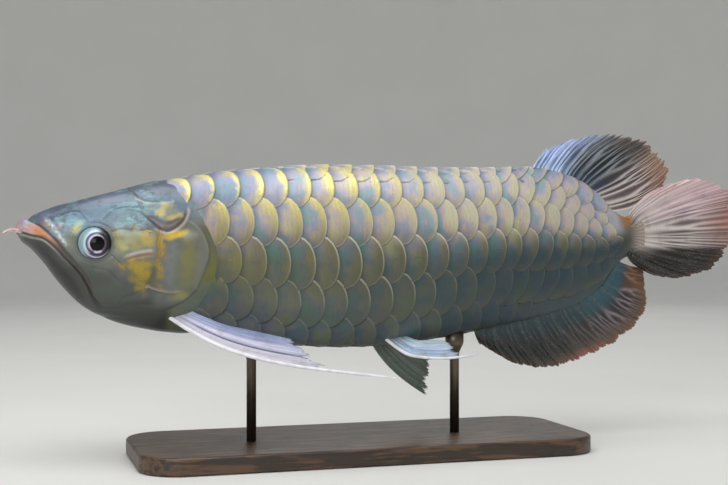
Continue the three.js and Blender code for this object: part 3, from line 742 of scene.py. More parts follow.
def head_colours(x, z, around):
    """Stains of the skin at places on the head and trunk, with painted shade and highlights."""
    share = np.abs(around)
    colours = flank_colours(x, around)
    head = soft_step(x, -104, -116)
    colours = stained(
        colours,
        (head, 0x647685),
        (head * soft_step(z, 12, 2) * 0.9, 0x747972),
        # Darker down the side of the head to the throat: partly its colour, partly painted shade
        # under the light from above.
        (head * soft_step(z, -3, -20), 0x484D46),
        (head * soft_step(z, -26, -50), 0x2C302C),
        (head * soft_step(x, -190, -206) * soft_step(z, 2, 10), 0x5C6480),
    )
    colours = brushed(colours, crown_marks, x, z)
    colours = stained(colours, (0.85 * head * soft_step(share, 0.22, 0.06), 0x404D5C))

    mouth, mouth_run = line_distance(mouth_line, x, z)
    lip, _ = line_distance(lip_line, x, z)
    jaw = soft_step(mouth, 0.4, -0.4) * soft_step(x, -162, -170) * soft_step(z, 9, 7)
    colours = stained(
        colours,
        # The jaw near black, darker still further below the mouth: partly its colour, partly
        # painted shade.
        (jaw * 0.95, 0x1A1D1B),
        (jaw * soft_step(mouth, -6, -16) * 0.7, 0x151816),
        (0.6 * jaw * soft_step(x, -196, -208), 0x463F42),
        # A paler band along the jaw just under the mouth: a painted highlight.
        (0.5 * jaw * hump(mouth + 3.2, 2.2), 0x4A4D47),
    )
    rim = hump(mouth + 1.1, 0.75) * (mouth < 0.1) * soft_step(mouth_run, 0.97, 0.75)
    rim *= soft_step(mouth_run, 0.0, 0.08) * (1.8 - 1.6 * soft_step(mouth_run, 0.25, 0.6))
    colours = stained(colours, (0.45 * rim, 0xA3A196))
    strip = soft_step(mouth, -0.2, 0.6) * soft_step(lip, 0.7, -0.3) * soft_step(x, -166, -171)
    colours = stained(
        colours,
        (strip, 0x4E3F37),
        (strip * soft_step(x, -183, -196), 0xB98672),
        (strip * soft_step(x, -198, -203), 0xC9A09C),
        (strip * soft_step(x, -203, -207) * soft_step(z, 9, 12), 0xA98C9E),
        (strip * spot(x, z, (-199.0, 6.2), (4.6, 2.2), -38), 0xCB8048),
        (0.8 * hump(lip, 0.7) * soft_step(x, -172, -182), 0x4F3A34),
        (0.85 * spot(x, z, (-194.8, 10.3), (4, 1.2), -40, 0.2), 0xA06E50),
    )
    ridge, ridge_run = line_distance(snout_ridge, x, z)
    # Pale along the raised snout ridge: partly its white colour, partly a painted highlight.
    pale = hump(ridge, 1.35) * soft_step(ridge_run, 0.05, 0.3)
    pale *= 0.35 + 0.65 * soft_step(mottle(x, z, 1.1), 0.30, 0.55)
    colours = stained(colours, (0.85 * pale, 0xDDE4E2))

    shade = hump(away_from(nostril, x, z), 1.6)
    colours = stained(colours, (0.85 * shade, 0x54423A))
    shade = hump(away_from(front_nostril, x, z), 0.9)
    colours = stained(colours, (0.5 * shade, 0x4C4A54))
    flap = hump(away_from(nostril_flap, x, z), 1.7)
    colours = stained(colours, (0.9 * flap, 0xC0A49E))

    eye = away_from(eye_place, x, z)
    cheek = soft_step(eye, socket_radius + 0.6, socket_radius + 2.5)
    colours = brushed(colours, cheek_marks, x, z, cheek)
    for seam in fine_seams:
        colours = stained(
            colours,
            (0.6 * cheek * hump(line_distance(seam, x, z)[0], 0.4), 0x3C4244),
        )

    cover, cover_run = line_distance(cover_margin, x, z)
    rear, _ = line_distance(preopercle_line, x, z)
    on_cover = soft_step(cover, 0.6, -0.6) * soft_step(rear, 1, 3) * soft_step(z, 19, 13)
    on_cover *= soft_step(z, -42, -34) * soft_step(x, -138, -130)
    colours = stained(colours, (on_cover * 0.9, 0x666B64))
    colours = brushed(colours, cover_marks, x, z, on_cover)
    thin_edge = hump(cover + 0.5, 0.7) * soft_step(cover_run, 0.62, 0.4)
    colours = stained(colours, (0.35 * on_cover * thin_edge * soft_step(z, -16, 0), 0xA9A7A2))
    colours = brushed(colours, gold_marks, x, z)
    cheek_line, cheek_run = line_distance(cheek_ridge, x, z)
    span = soft_step(cheek_run, 0, 0.3) * soft_step(cheek_run, 1, 0.85)
    colours = stained(
        colours,
        (0.7 * hump(cheek_line + 1.6, 1.1) * span, 0x8A6034),
        # Pale on the raised cheek ridge: partly its pink colour, partly a painted highlight.
        (0.85 * hump(cheek_line - 0.5, 0.8) * span, 0xC4AEA6),
    )
    low_seam, low_run = line_distance(cover_seam, x, z)
    colours = stained(
        colours,
        # Pale on the raised edge beside the seam: a painted highlight.
        (0.7 * hump(low_seam - 0.9, 0.7) * soft_step(low_run, 1, 0.7), 0xB9A594),
        (0.6 * hump(low_seam, 0.45) * soft_step(low_run, 1, 0.7), 0x3A3A34),
    )

    fold, fold_run = line_distance(fold_low, x, z)
    between = soft_step(fold, -0.2, 0.4) * soft_step(x, -142, -138) * soft_step(x, -117, -120)
    high, _ = line_distance(fold_high, x, z)
    between *= soft_step(high, 0.4, -0.4) * (z < 17)
    colours = stained(
        colours,
        (0.7 * between, 0x76635F),
        # Dark along the lower fold and along the line of the upper one: painted shade in their
        # grooves.
        (0.75 * hump(fold, 0.6) * soft_step(fold_run, 0.2, 0.4), 0x2C2725),
        (0.6 * hump(high, 0.5) * soft_step(x, -142, -138), 0x33302E),
        # Pale on the raised fold: a painted highlight.
        (0.6 * hump(fold + 1.6, 0.9) * soft_step(fold_run, 0.5, 0.65), 0xC9B3A8),
    )
    plate, _ = line_distance(ear_plate, x, z)
    colours = stained(
        colours,
        (0.5 * hump(plate, 0.45), 0x42494C),
        # Pale on the raised plate beside its edge: a painted highlight.
        (0.55 * hump(plate + 1.0, 0.6), 0xC2B9A8),
        # A dark ring round the eye and near black in the socket: partly their colour, partly
        # painted shade between eye and skin.
        (0.8 * hump(eye - socket_radius - 0.3, 0.8), 0x272C2C),
        (0.9 * soft_step(eye, socket_radius, socket_radius - 1), 0x17171C),
    )

    begin = behind_head(around)
    band = soft_step(cover, 0.2, 1.2) * soft_step(x, begin + 16, begin + 4)
    band *= soft_step(z, 12, 8) * soft_step(x, -128, -118)
    return stained(
        colours,
        (band, 0x5F6050),
        (0.9 * band * soft_step(z, 0, -14), 0x666828),
        (0.8 * band * soft_step(z, -20, -30), 0x545E58),
    )


def ray_root_shade(x, z):
    """Darkening of the skin at the tail's end between the roots of the caudal fin's rays:
    painted shade of furrows that the skin's shape does not have.
    """
    degrees = np.degrees(np.arctan2(z - tail_fan[1], x - tail_fan[0]))
    ray = (degrees - lowest_ray) / (highest_ray - lowest_ray) * (caudal_ray_count - 1)
    between = soft_step(np.cos(2 * math.pi * ray), 0.5, -0.8)
    return between * soft_step(x, 188, 197) * soft_step(x, 215, 205)


def gold_share(x, z):
    """Where the head's stain holds flakes of gold."""
    masks = [mark[0] * spot(x, z, *mark[1:5]) for mark in gold_marks]
    return np.clip(np.max(masks, axis=0), 0, 1)


def skin_stations():
    """X of each ring of the skin, crowded on the head where its features are."""
    x = snout_x + 0.05 * mm
    places = [x]
    while x < tail_x - 0.4 * mm:
        from_snout = (x - snout_x) / mm
        step = 0.12 + 0.36 * soft_step(from_snout, 0, 8) + 3.3 * soft_step(from_snout, 113, 140)
        x += step * mm
        places.append(min(x, tail_x))
    return np.array(places)


lowest_ray = -58  # of the caudal fin, in degrees
highest_ray = 56
caudal_ray_count = 18
tail_fan = (186.5, 4.4)  # where the caudal fin's rays would meet
skin_sides = 264
tongue_length = 9 * mm  # how far the skin runs on into the caudal fin's root
tongue_shares = np.append(np.linspace(0.07, 0.98, 14), 1)
stations = skin_stations()
around = np.linspace(-1, 1, skin_sides, endpoint=False)
grid_x, grid_around = np.meshgrid(stations, around, indexing="ij")
skin_place = on_form(grid_x, grid_around)
place_x = grid_x / mm
place_z = (skin_place[..., 2] - eye_level) / mm
nose_taper = soft_step(place_x, -213.0, -211.5)
rise = head_relief(place_x, place_z) * nose_taper - skin_depth(place_x, grid_around, place_z)
skin_place = skin_place + form_normal(grid_x, grid_around) * (rise * mm)[..., None]
nose = skin_place[0].mean(axis=0) + np.array((-0.1 * mm, 0, 0))

last_ring = skin_place[-1]
tail_middle = last_ring.mean(axis=0)
tongue = []
for share in tongue_shares:
    narrowing = np.array((0, 0.04 + 0.96 * (1 - share) ** 2, 1 - 0.2 * share ** 2))
    reach = tongue_length * share
    onward = np.array((reach, middle_y(tail_x + reach) - middle_y(tail_x), 0))
    tongue.append(tail_middle + (last_ring - tail_middle) * narrowing + onward)
tail_end = tongue.pop().mean(axis=0)
rings = np.concatenate((skin_place, tongue))
skin_points = np.concatenate((rings.reshape(-1, 3), [nose, tail_end]))


skin_faces = ring_faces(len(rings), skin_sides, len(skin_points))


def write_attribute(mesh, name, values):
    """Stores a number or a colour for each point."""
    values = np.asarray(values, dtype=np.float32)
    if values.ndim == 1:
        mesh.attributes.new(name, "FLOAT", "POINT").data.foreach_set("value", values)
        return
    colours = np.ones((len(values), 4), dtype=np.float32)
    colours[:, :3] = values
    mesh.attributes.new(name, "FLOAT_COLOR", "POINT").data.foreach_set("color", colours.ravel())


skin_finish = Finish("stained_skin", Coat_Roughness=0.12, Coat_Weight=0.25)
gold = skin_finish.attribute("gold")
bare = skin_finish.attribute("bare")
broad = skin_finish.noise(120, 4)
fine = skin_finish.noise(900, 3)
grain = skin_finish.noise(2600, 2)
sheen_hue = skin_finish.noise(75, 3, skin_finish.stretched((1, 1, 1.8)), 0.6)
wrinkles = skin_finish.noise(170, 4, skin_finish.stretched((1, 1, 2.2)), 0.6)
crease = 1 - (wrinkles - 0.5).absolute().rising(0.0, 0.022)
crease = crease * broad.rising(0.44, 0.60) * bare
flakes = gold + (fine - 0.5) * 1.3 + (grain - 0.5) * 0.7
flakes = flakes.rising(0.25, 1.15) * gold.rising(0.02, 0.4)
speckle = gold * fine.rising(0.54, 0.74)
skin_finish.surface("Base Color", skin_finish.stained(
    skin_finish.attribute("stain", "Color"),
    (0x2E3430, 0.22 * broad.rising(0.48, 0.78)),
    (0x94C4CC, 0.42 * bare * sheen_hue.rising(0.52, 0.66)),
    (0x7E7CA0, 0.26 * bare * sheen_hue.rising(0.48, 0.34)),
    (0x36424A, 0.5 * crease),
    (0xC9D2D2, 0.10 * bare * fine.rising(0.5, 0.75)),
    (0xD2B034, 0.42 * flakes),
    (0x6A5424, 0.18 * speckle),
))
skin_finish.surface("Metallic", 0.12 + 0.35 * flakes)
skin_finish.surface("Roughness", 0.34 + 0.2 * fine)
skin_finish.relief(fine * 0.4 + broad * 0.6 - crease * 0.5 + grain * 0.15, 0.3 * mm)

skin = new_mesh_object("fish_skin", skin_points, skin_faces, skin_finish)
flat_x, flat_z, flat_around = (
    np.append(grid.ravel(), np.tile(grid[-1], len(tongue)))
    for grid in (place_x, place_z, grid_around)
)
skin_colours = head_colours(flat_x, flat_z, flat_around)
true_x, _, true_z = (rings.reshape(-1, 3) / mm).T
true_z = true_z - eye_level / mm
# The tongue of skin at the tail's root is pale, and dark on its lower part as painted shade.
root_colours_and_shade = stained(plain(0xBCAEA4, true_x), (soft_step(true_z, -2, -8), 0x3A342A))
skin_colours = blended(skin_colours, root_colours_and_shade, 0.95 * soft_step(true_x, 193, 207))
# Dark streaks between the ray roots: painted shade.
skin_colours = stained(skin_colours, (0.4 * ray_root_shade(true_x, true_z), 0x4A4038))
# The skin's colours, painted shade and highlights among them.
write_attribute(skin.data, "stain", np.concatenate((skin_colours, skin_colours[[0, -1]])))
write_attribute(skin.data, "gold", np.append(gold_share(flat_x, flat_z), (0, 0)))
bare_share = soft_step(flat_x, -118, -136) * soft_step(flat_z, 1, 9)
write_attribute(skin.data, "bare", np.append(bare_share, (0, 0)))
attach(skin, "root")
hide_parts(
    "head", "jaw_lower", "upper_jaw_left", "upper_jaw_right", "gill_cover_left",
    "gill_cover_right", "trunk_front", "trunk_rear", "tail_root",
)


# Eyes
# Glass eyes as a model maker sets them: a flattened ball painted from behind with the iris and
# a round pupil that looks a little back, under a clear domed front, pushed into the socket. The
# paint holds painted light too: a lit front and top, a shaded rear and white painted reflections.
eye_x = -167.6 * mm
eye_z = eye_level - 0.6 * mm
eye_radius = 10.5 * mm
eye_depth = 7.9 * mm
eye_sink = 4.6 * mm
head_turn = math.radians(-9)
snout_taper = math.radians(13)
pupil_turn = math.radians(22)
pupil_radius = 4.6  # these two in millimetres over the ball
iris_radius = 6.7
eye_rings = 90
eye_steps = 96


def eye_colours(off_axis, forward, up):
    """Paint of the eye by millimetres from the pupil's middle and the way from it, with the front
    and top painted lit, the rear painted in shade, and white painted reflections.
    """
    # The front and top of the eye painted as lit, the rear as in shade.
    lit_front_top = soft_step(forward * 0.72 + up * 0.70, -0.25, 0.45)
    rear = soft_step(-forward + 0.35 * up, 0.1, 0.7)
    # A thin white crescent low on the rim: a painted reflection.
    low_glint = soft_step(-up, 0.35, 0.8) * hump(off_axis - 9.3, 0.5)
    outer = stained(
        plain(0x55526A, off_axis),
        (lit_front_top, 0x93ADB8),
        # A pale cyan crescent on the lit front and top: a painted highlight.
        (0.9 * lit_front_top * hump(off_axis - 8.1, 1.2), 0xCFE6E8),
        (0.9 * rear, 0x38312E),
        (low_glint, 0xE8E4EC),
    )
    # A white spot under the pupil: a painted reflection.
    below = soft_step(-up, 0.86, 0.98) * hump(off_axis - 5.2, 0.8)
    iris = stained(
        plain(0xC4BBDA, off_axis),
        (soft_step(off_axis, 5.2, 6.2), 0x8F7FA6),
        (0.92 * rear, 0x40363A),
        (0.75 * soft_step(-up, 0.1, 0.8), 0x4B4350),
        (below, 0xF0EAF0),
    )
    # A pale ring round the pupil, strongest on the lit front and top: partly its colour, partly a
    # painted highlight.
    pupil_ring_glint = hump(off_axis - pupil_radius - 0.5, 0.35) * (0.12 + 0.88 * lit_front_top)
    return stained(
        blended(outer, iris, soft_step(off_axis, iris_radius + 0.3, iris_radius - 0.2)),
        (0.9 * hump(off_axis - iris_radius - 0.2, 0.45), 0x241C34),
        (0.8 * pupil_ring_glint, 0xDCD6EA),
        (soft_step(off_axis, pupil_radius + 0.2, pupil_radius - 0.2), 0x03040A),
    )


eye_finish = Finish("painted_glass", Coat_Roughness=0.03, Coat_IOR=1.4, Coat_Weight=0.3,
                    Roughness=0.3, Specular_IOR_Level=0.12)
streaks = eye_finish.noise(1400, 3)
eye_finish.surface("Base Color", eye_finish.stained(
    eye_finish.attribute("paint", "Color"), (0x2A2430, 0.35 * streaks.rising(0.5, 0.8))))
eye_finish.surface("Metallic", 0.2 * streaks)

for name, side in (("left", -1), ("right", 1)):
    turn = head_turn + side * snout_taper
    outward = np.array((-math.sin(turn) * side, math.cos(turn) * side, 0))
    forward = np.array((-math.cos(turn), -math.sin(turn), 0))
    upward = np.array((0, 0, 1.0))
    outs, heights, _ = half_sections([eye_x], form_shares)
    cheek_out = np.interp(-eye_z, -heights[0], outs[0])
    centre = np.array((eye_x, middle_y(eye_x) + side * (cheek_out - eye_sink), eye_z))
    tilt = np.linspace(0, math.pi, eye_rings)[1:-1, None]
    spin = np.linspace(0, 2 * math.pi, eye_steps, endpoint=False)[None, :]
    ball = np.stack((np.cos(tilt) + 0 * spin, np.sin(tilt) * np.cos(spin),
                     np.sin(tilt) * np.sin(spin)), axis=-1).reshape(-1, 3)
    ball = np.concatenate((ball, np.array(((1.0, 0, 0), (-1.0, 0, 0)))))
    gaze = np.array((math.cos(pupil_turn), -math.sin(pupil_turn), 0.0))
    off_axis = np.arccos(np.clip(ball @ gaze, -1, 1)) * eye_radius / mm
    way = ball - gaze
    away = np.maximum(np.hypot(way[:, 1], way[:, 2]), 1e-9)
    dome = 1 + 0.05 * hump(off_axis, 5.0)
    points = centre + (ball[:, :1] * outward * eye_depth * dome[:, None]
                       + ball[:, 1:2] * forward * eye_radius + ball[:, 2:] * upward * eye_radius)
    faces = ring_faces(eye_rings - 2, eye_steps, len(points))
    if side > 0:
        faces = [face[::-1] for face in faces]
    eye = new_mesh_object(f"glass_eye_{name}", points, faces, eye_finish)
    write_attribute(eye.data, "paint", eye_colours(off_axis, way[:, 1] / away, way[:, 2] / away))
    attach(eye, "root")
    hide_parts(f"eye_{name}")


# Scales
# Large plates of thin horn in eleven rows, each rooted in the skin at its front and lying over
# the next like roof tiles. Here they are cast one by one from a blank and laid along the body.
scale_pitch = 14.6 * mm
tail_pitch = 12.2 * mm
bare_behind_head = 9 * mm
scale_rear = 13.6 * mm  # from the middle of a scale to its rear edge
scale_half_height = 0.68  # of the distance between rows
scale_lift = 1.4 * mm  # height of the rear edge over the skin
scale_squareness = 2.2
root_height = 0.06  # these three as shares of the lift
rear_height = 0.90
crown_height = 0.10
blank_radii = (0.58, 0.92, 1.0)
blank_steps = 18
rear_gather = 0.42  # how closely the outline's points gather at the rear edge
wrap_span = 1.25  # how far round the flattened form reaches, past the belly on both sides
head_sink = 2.8  # how far the scales dive under the skin of the head, in millimetres

# Where rows 0 to 5 run, as shares of the way round, at X in millimetres.
row_lines = np.array([
    (-60, 0.000, 0.182, 0.364, 0.545, 0.727, 0.909),
    (40, 0.000, 0.180, 0.345, 0.512, 0.695, 0.890),
    (100, 0.000, 0.180, 0.350, 0.520, 0.705, 0.895),
    (127, 0.075, 0.225, 0.375, 0.545, 0.735, 0.910),
    (157, 0.125, 0.272, 0.400, 0.562, 0.755, 0.915),
    (180, 0.130, 0.262, 0.395, 0.560, 0.750, 0.905),
    (203, 0.150, 0.262, 0.400, 0.590, 0.780, 0.915),
])
row_starts = (-111.7, -112, -119.3, -112, -119.3, -112)  # first rear edges, in millimetres
row_ends = (180 * mm, 186 * mm, 192 * mm, 194 * mm, 190 * mm, 120 * mm)
row_relief = (0.95, 1.0, 1.0, 0.92, 0.66, 0.5)
back_row_end = 112 * mm  # where the middle row meets the dorsal fin and parts in two

bed_front = snout_x + 60 * mm
bed_rings = 420
bed_ways = 561
bake_shrink = 0.44  # size of a scale on its map, as a share of its true size


def row_share(row, x):
    """How far round from the back a row runs at x."""
    return smooth(row_lines, row + 1, np.maximum(x / mm, row_lines[0, 0]))


def lay_coordinates(x, around):
    """Flat place of a point of the body: along and around, both from 0 to 1."""
    return (x - snout_x) / body_length, 0.5 + around / (2 * wrap_span)


def flat_form():
    """The surface under the scales, with its flat places as a map."""
    x = np.linspace(bed_front, tail_x - 0.2 * mm, bed_rings)
    turn = np.linspace(-wrap_span, wrap_span, bed_ways)
    xx, tt = np.meshgrid(x, turn, indexing="ij")
    wrapped = np.where(np.abs(tt) > 1, tt - 2 * np.sign(tt), tt)
    place = on_form(xx, wrapped)
    normal = form_normal(xx, wrapped)
    depth = skin_depth(xx / mm, wrapped, (place[..., 2] - eye_level) / mm)
    begin = behind_head(wrapped)
    depth += head_sink * soft_step(xx / mm, begin + 4, begin - 5)
    place = place - normal * (depth * mm)[..., None]
    count = len(turn)
    first = (np.arange(len(x) - 1)[:, None] * count + np.arange(count - 1)[None, :]).ravel()
    faces = np.stack((first, first + 1, first + count + 1, first + count), axis=-1)
    form = new_mesh_object("scale_bed", place.reshape(-1, 3), faces.tolist(), skin_finish)
    flat = np.stack(lay_coordinates(xx, tt), axis=-1).reshape(-1, 2)[faces.ravel()]
    layer = form.data.uv_layers.new(name="flat")
    layer.data.foreach_set("uv", flat.astype(np.float32).ravel())
    return form


def rounded_reach(across, along):
    """Size of the rounded square through a point, 1 at a scale's edge."""
    return (np.abs(across) ** scale_squareness
            + np.abs(along) ** scale_squareness) ** (1 / scale_squareness)


def scale_blank():
    """One scale, closed: 1 from its middle to its edge, its rear edge at a height of 1."""
    angle = np.linspace(0, 2 * math.pi, blank_steps, endpoint=False)
    angle = angle - rear_gather * np.sin(angle)
    r, turn = np.meshgrid(blank_radii, angle, indexing="ij")
    reach = r / rounded_reach(np.cos(turn), np.sin(turn))
    p = reach * np.cos(turn)
    q = reach * np.sin(turn)
    slope = root_height + (rear_height - root_height) * (p + 1) / 2
    crown = crown_height * (1 - np.abs(q) ** 2.5) * soft_step(p, 1.0, 0.2)
    edge_roll = 0.04 * soft_step(r, 0.80, 0.92) - 0.09 * soft_step(r, 0.95, 1.0)
    top = slope + crown + edge_roll
    levels = [*enumerate(top), (len(top) - 1, top[-1] - 0.09)]
    points = [np.stack((p[ring], q[ring], height), axis=-1) for ring, height in levels]
    middle = (root_height + rear_height) / 2 + crown_height
    points = np.concatenate(points + [np.array([(0, 0, middle), (0, 0, middle - 0.2)])])
    faces = ring_faces(len(levels), blank_steps, len(points))
    blank = new_mesh_object("scale_blank", points, faces, skin_finish)
    write_attribute(blank.data, "edge", rounded_reach(points[:, 0], points[:, 1]))
    write_attribute(blank.data, "along", points[:, 0])
    write_attribute(blank.data, "across", points[:, 1])
    return blank


class Shaping(Nodes):
    """A Geometry Nodes tree with named inputs."""

    def __init__(self, name):
        super().__init__(bpy.data.node_groups.new(name, "GeometryNodeTree"))
        self.tree.interface.new_socket("Mesh", in_out="OUTPUT", socket_type="NodeSocketGeometry")
        self.inputs = self.tree.nodes.new("NodeGroupInput")
        self.identifiers = {}

    def input(self, name, kind):
        made = self.tree.interface.new_socket(name, in_out="INPUT", socket_type="NodeSocket" + kind)
        self.identifiers[name] = made.identifier
        return Value(self, self.pick(self.inputs.outputs, made.identifier))

    def named(self, name, kind):
        return self.node("GeometryNodeInputNamedAttribute", {"data_type": kind}, {"Name": name})

    def vector(self, operation, first, second, place=1):
        settings = {"operation": operation}
        return self.node("ShaderNodeVectorMath", settings, {0: first, place: second})

    def end(self, mesh, material):
        """Makes the instances real, gives them their material and hands the mesh out."""
        real = self.node("GeometryNodeRealizeInstances", None, {"Geometry": mesh})
        done = self.node("GeometryNodeSetMaterial", None, {"Geometry": real, "Material": material})
        out = self.tree.nodes.new("NodeGroupOutput")
        self.feed(out.inputs[0], done)

    def applied(self, name, start, values):
        """A new plain object: the tree's result on a start object, with its inputs set."""
        modifier = start.modifiers.new("shaping", "NODES")
        modifier.node_group = self.tree
        for key, value in values.items():
            modifier[self.identifiers[key]] = value
        bpy.context.view_layer.update()
        graph = bpy.context.evaluated_depsgraph_get()
        mesh = bpy.data.meshes.new_from_object(start.evaluated_get(graph), depsgraph=graph)
        start.modifiers.remove(modifier)
        bpy.data.objects.remove(start)
        made = bpy.data.objects.new(name, mesh)
        bpy.context.collection.objects.link(made)
        return made


def laying_tree():
    """Sets a blank on each point of a flat layout, then wraps the layout round the body."""
    lay = Shaping("lay_on_body")
    layout = lay.input("Layout", "Geometry")
    bed = lay.input("Bed", "Object")
    blank = lay.input("Blank", "Object")
    lift = lay.input("Lift", "Float")
    size_spread = lay.input("Size spread", "Float")
    turn_spread = lay.input("Turn spread", "Float")
    seed = lay.input("Seed", "Int")
    material = lay.input("Finish", "Material")
    bed_mesh, blank_mesh = (
        lay.node("GeometryNodeObjectInfo", None, {"Object": form}, "Geometry")
        for form in (bed, blank)
    )
    chance = {"data_type": "FLOAT"}
    size = lay.node("FunctionNodeRandomValue", chance, {
        "Min_001": 1 - size_spread, "Max_001": 1 + size_spread, "Seed": seed}, 1)
    turn = lay.node("FunctionNodeRandomValue", chance, {
        "Min_001": 0 - turn_spread, "Max_001": turn_spread, "Seed": seed + 1}, 1)
    stretch = lay.vector("SCALE", lay.named("stretch", "FLOAT_VECTOR"), size, "Scale")
    heading = lay.node("ShaderNodeCombineXYZ", None, {"Z": lay.named("heading", "FLOAT") + turn})
    rotation = lay.node("FunctionNodeEulerToRotation", None, {"Euler": heading})
    placed = lay.node("GeometryNodeInstanceOnPoints", None, {
        "Points": layout, "Instance": blank_mesh, "Rotation": rotation, "Scale": stretch})
    flat = lay.node("GeometryNodeRealizeInstances", None, {"Geometry": placed})
    place = lay.node("GeometryNodeInputPosition")
    height = lay.node("ShaderNodeSeparateXYZ", None, {"Vector": place}, "Z")
    map_place = lay.named("flat", "FLOAT_VECTOR")

    def on_bed(value):
        return lay.node("GeometryNodeSampleUVSurface", {"data_type": "FLOAT_VECTOR"}, {
            "Mesh": bed_mesh, "Value": value, "Source UV Map": map_place, "Sample UV": place})

    outward = on_bed(lay.node("GeometryNodeInputNormal"))
    raised = lay.vector("SCALE", outward, (height + lay.named("extra", "FLOAT")) * lift, "Scale")
    wrapped = lay.node("GeometryNodeSetPosition", None, {
        "Geometry": flat, "Position": lay.vector("ADD", on_bed(place), raised)})
    turned = lay.node("GeometryNodeFlipFaces", None, {"Mesh": wrapped})
    lay.end(turned, material)
    return lay


# Stains of the scales' rims by share of the way round, as they are behind the head. They darken
# lower down, partly the rims' colour and partly painted shade under the light from above.
rim_stains_and_shade = [
    (0.00, 0x8C887C), (0.08, 0xC4BC98), (0.18, 0xE6DC9C), (0.30, 0xCCBC84), (0.38, 0x968E74),
    (0.46, 0x645F48), (0.58, 0x504F3A), (0.72, 0x525A4C), (0.88, 0x5E6862), (1.00, 0x66716E),
]


def rim_colours(x, around):
    """Stains of the scales' rims: gold in front, cream behind, brown and grey lower down, and dark
    teal low on the rear half, partly their colour and partly painted shade.
    """
    share = np.abs(around)
    colours = gradient(rim_stains_and_shade, share)
    cream = soft_step(x, -35, 50)
    colours = stained(
        colours,
        (0.9 * cream * soft_step(share, 0.50, 0.36), 0xCFC8B4),
        (0.8 * soft_step(x, 100, 160) * soft_step(share, 0.5, 0.35), 0xAFABA8),
        (0.8 * soft_step(x, -20, 60) * hump(share - 0.56, 0.09), 0x66614A),
    )
    behind_cover = soft_step(x, -82, -97) * hump(share - 0.45, 0.2)
    return stained(
        colours,
        (0.85 * behind_cover, 0x86824A),
        # Dark teal low on the rear half: partly its colour, partly painted shade.
        (0.95 * soft_step(x, 10, 110) * soft_step(share, 0.5, 0.62), 0x2C4348),
    )


def gold_leaf(x, around):
    """Where the scales are gilded."""
    share = np.abs(around)
    leaf = soft_step(share, 0.44, 0.22) * (1 - 0.85 * soft_step(x, -40, 60))
    leaf = leaf * soft_step(share, 0.02, 0.08)
    return leaf + 0.12 * soft_step(x, 20, -60) * hump(share - 0.55, 0.09)


def scale_layout(rows, sides):
    """Middles, sizes and headings of the scales of some rows, laid flat."""
    found = []
    for side in sides:
        for row in rows:
            rear = row_starts[row] * mm
            while rear < row_ends[row]:
                to_tail = soft_step(rear, 30 * mm, 130 * mm)
                pitch = scale_pitch + (tail_pitch - scale_pitch) * to_tail
                parted = row == 0 and rear > back_row_end
                in_reach = parted if row == 0 and side else not parted
                if in_reach:
                    found.append(one_scale(row, side, rear, pitch))
                rear += pitch
    return [scale for scale in found if scale]


def lift_share(row, x):
    """Height of a scale at X in millimetres, lower on the nape and towards the tail."""
    height = row_relief[row] * (1 - 0.4 * soft_step(x, 60, 160))
    return height * (1 - 0.6 * soft_step(x, -45, -70)) if row == 0 else height


def one_scale(row, side, rear, pitch):
    """A scale by its rear edge's X: its flat place, size and heading, or None under the head."""
    length = scale_rear * pitch / scale_pitch
    x = rear - length
    around = row_share(row, x)
    begin = behind_head(around) * mm
    if rear < begin + bare_behind_head:
        return None
    near = row_share(max(row - 1, 0), x)
    far = row_share(row + 1, x) if row < 5 else around + 2 * (1 - around)
    gap = (far - near) / (2 if row else 1)
    if row == 0:
        gap = row_share(1, x) - around + 0.02 if side else 1.35 * gap
    half_turn = scale_half_height * gap
    slant = (row_share(row, x + mm) - row_share(row, x - mm)) / (2 * mm)
    turn = (side or 1) * around
    u, v = lay_coordinates(x, turn)
    # The right row on the belly laps over the left one, and the middle row over its neighbours.
    extra = 0.07 if side < 0 and row == 5 else 0.0
    if row == 0:
        extra = 0.13 * soft_step(x / mm, -70, -45)
    return {
        "place": (u, v, 0.0),
        "stretch": (length / body_length, half_turn / (2 * wrap_span), lift_share(row, x / mm)),
        "heading": math.atan2((side or 1) * slant / (2 * wrap_span), 1 / body_length),
        "root_x": x / mm,
        "root_turn": turn,
        "half_long": length / mm,
        "half_turn": half_turn,
        "extra": extra,
    }


def column(mesh, name):
    """The number that is stored for each point under a name."""
    values = np.empty(len(mesh.vertices), dtype=np.float32)
    mesh.attributes[name].data.foreach_get("value", values)
    return values


def add_bake_map(mesh, place_x, turn):
    """A map of the unrolled flank with each scale shrunk to its place, clear of the next."""
    corners = np.empty(len(mesh.loops), dtype=np.int32)
    mesh.loops.foreach_get("vertex_index", corners)
    flat = []
    for places, roots, margin in (
        (place_x, column(mesh, "root_x"), 5), (turn, column(mesh, "root_turn"), 0.05)
    ):
        low = places.min() - margin
        shrunk = roots + bake_shrink * (places - roots)
        flat.append((shrunk - low) / (places.max() + margin - low))
    layer = mesh.uv_layers.new(name="OFBake")
    layer.data.foreach_set("uv", np.stack(flat, axis=-1)[corners].astype(np.float32).ravel())


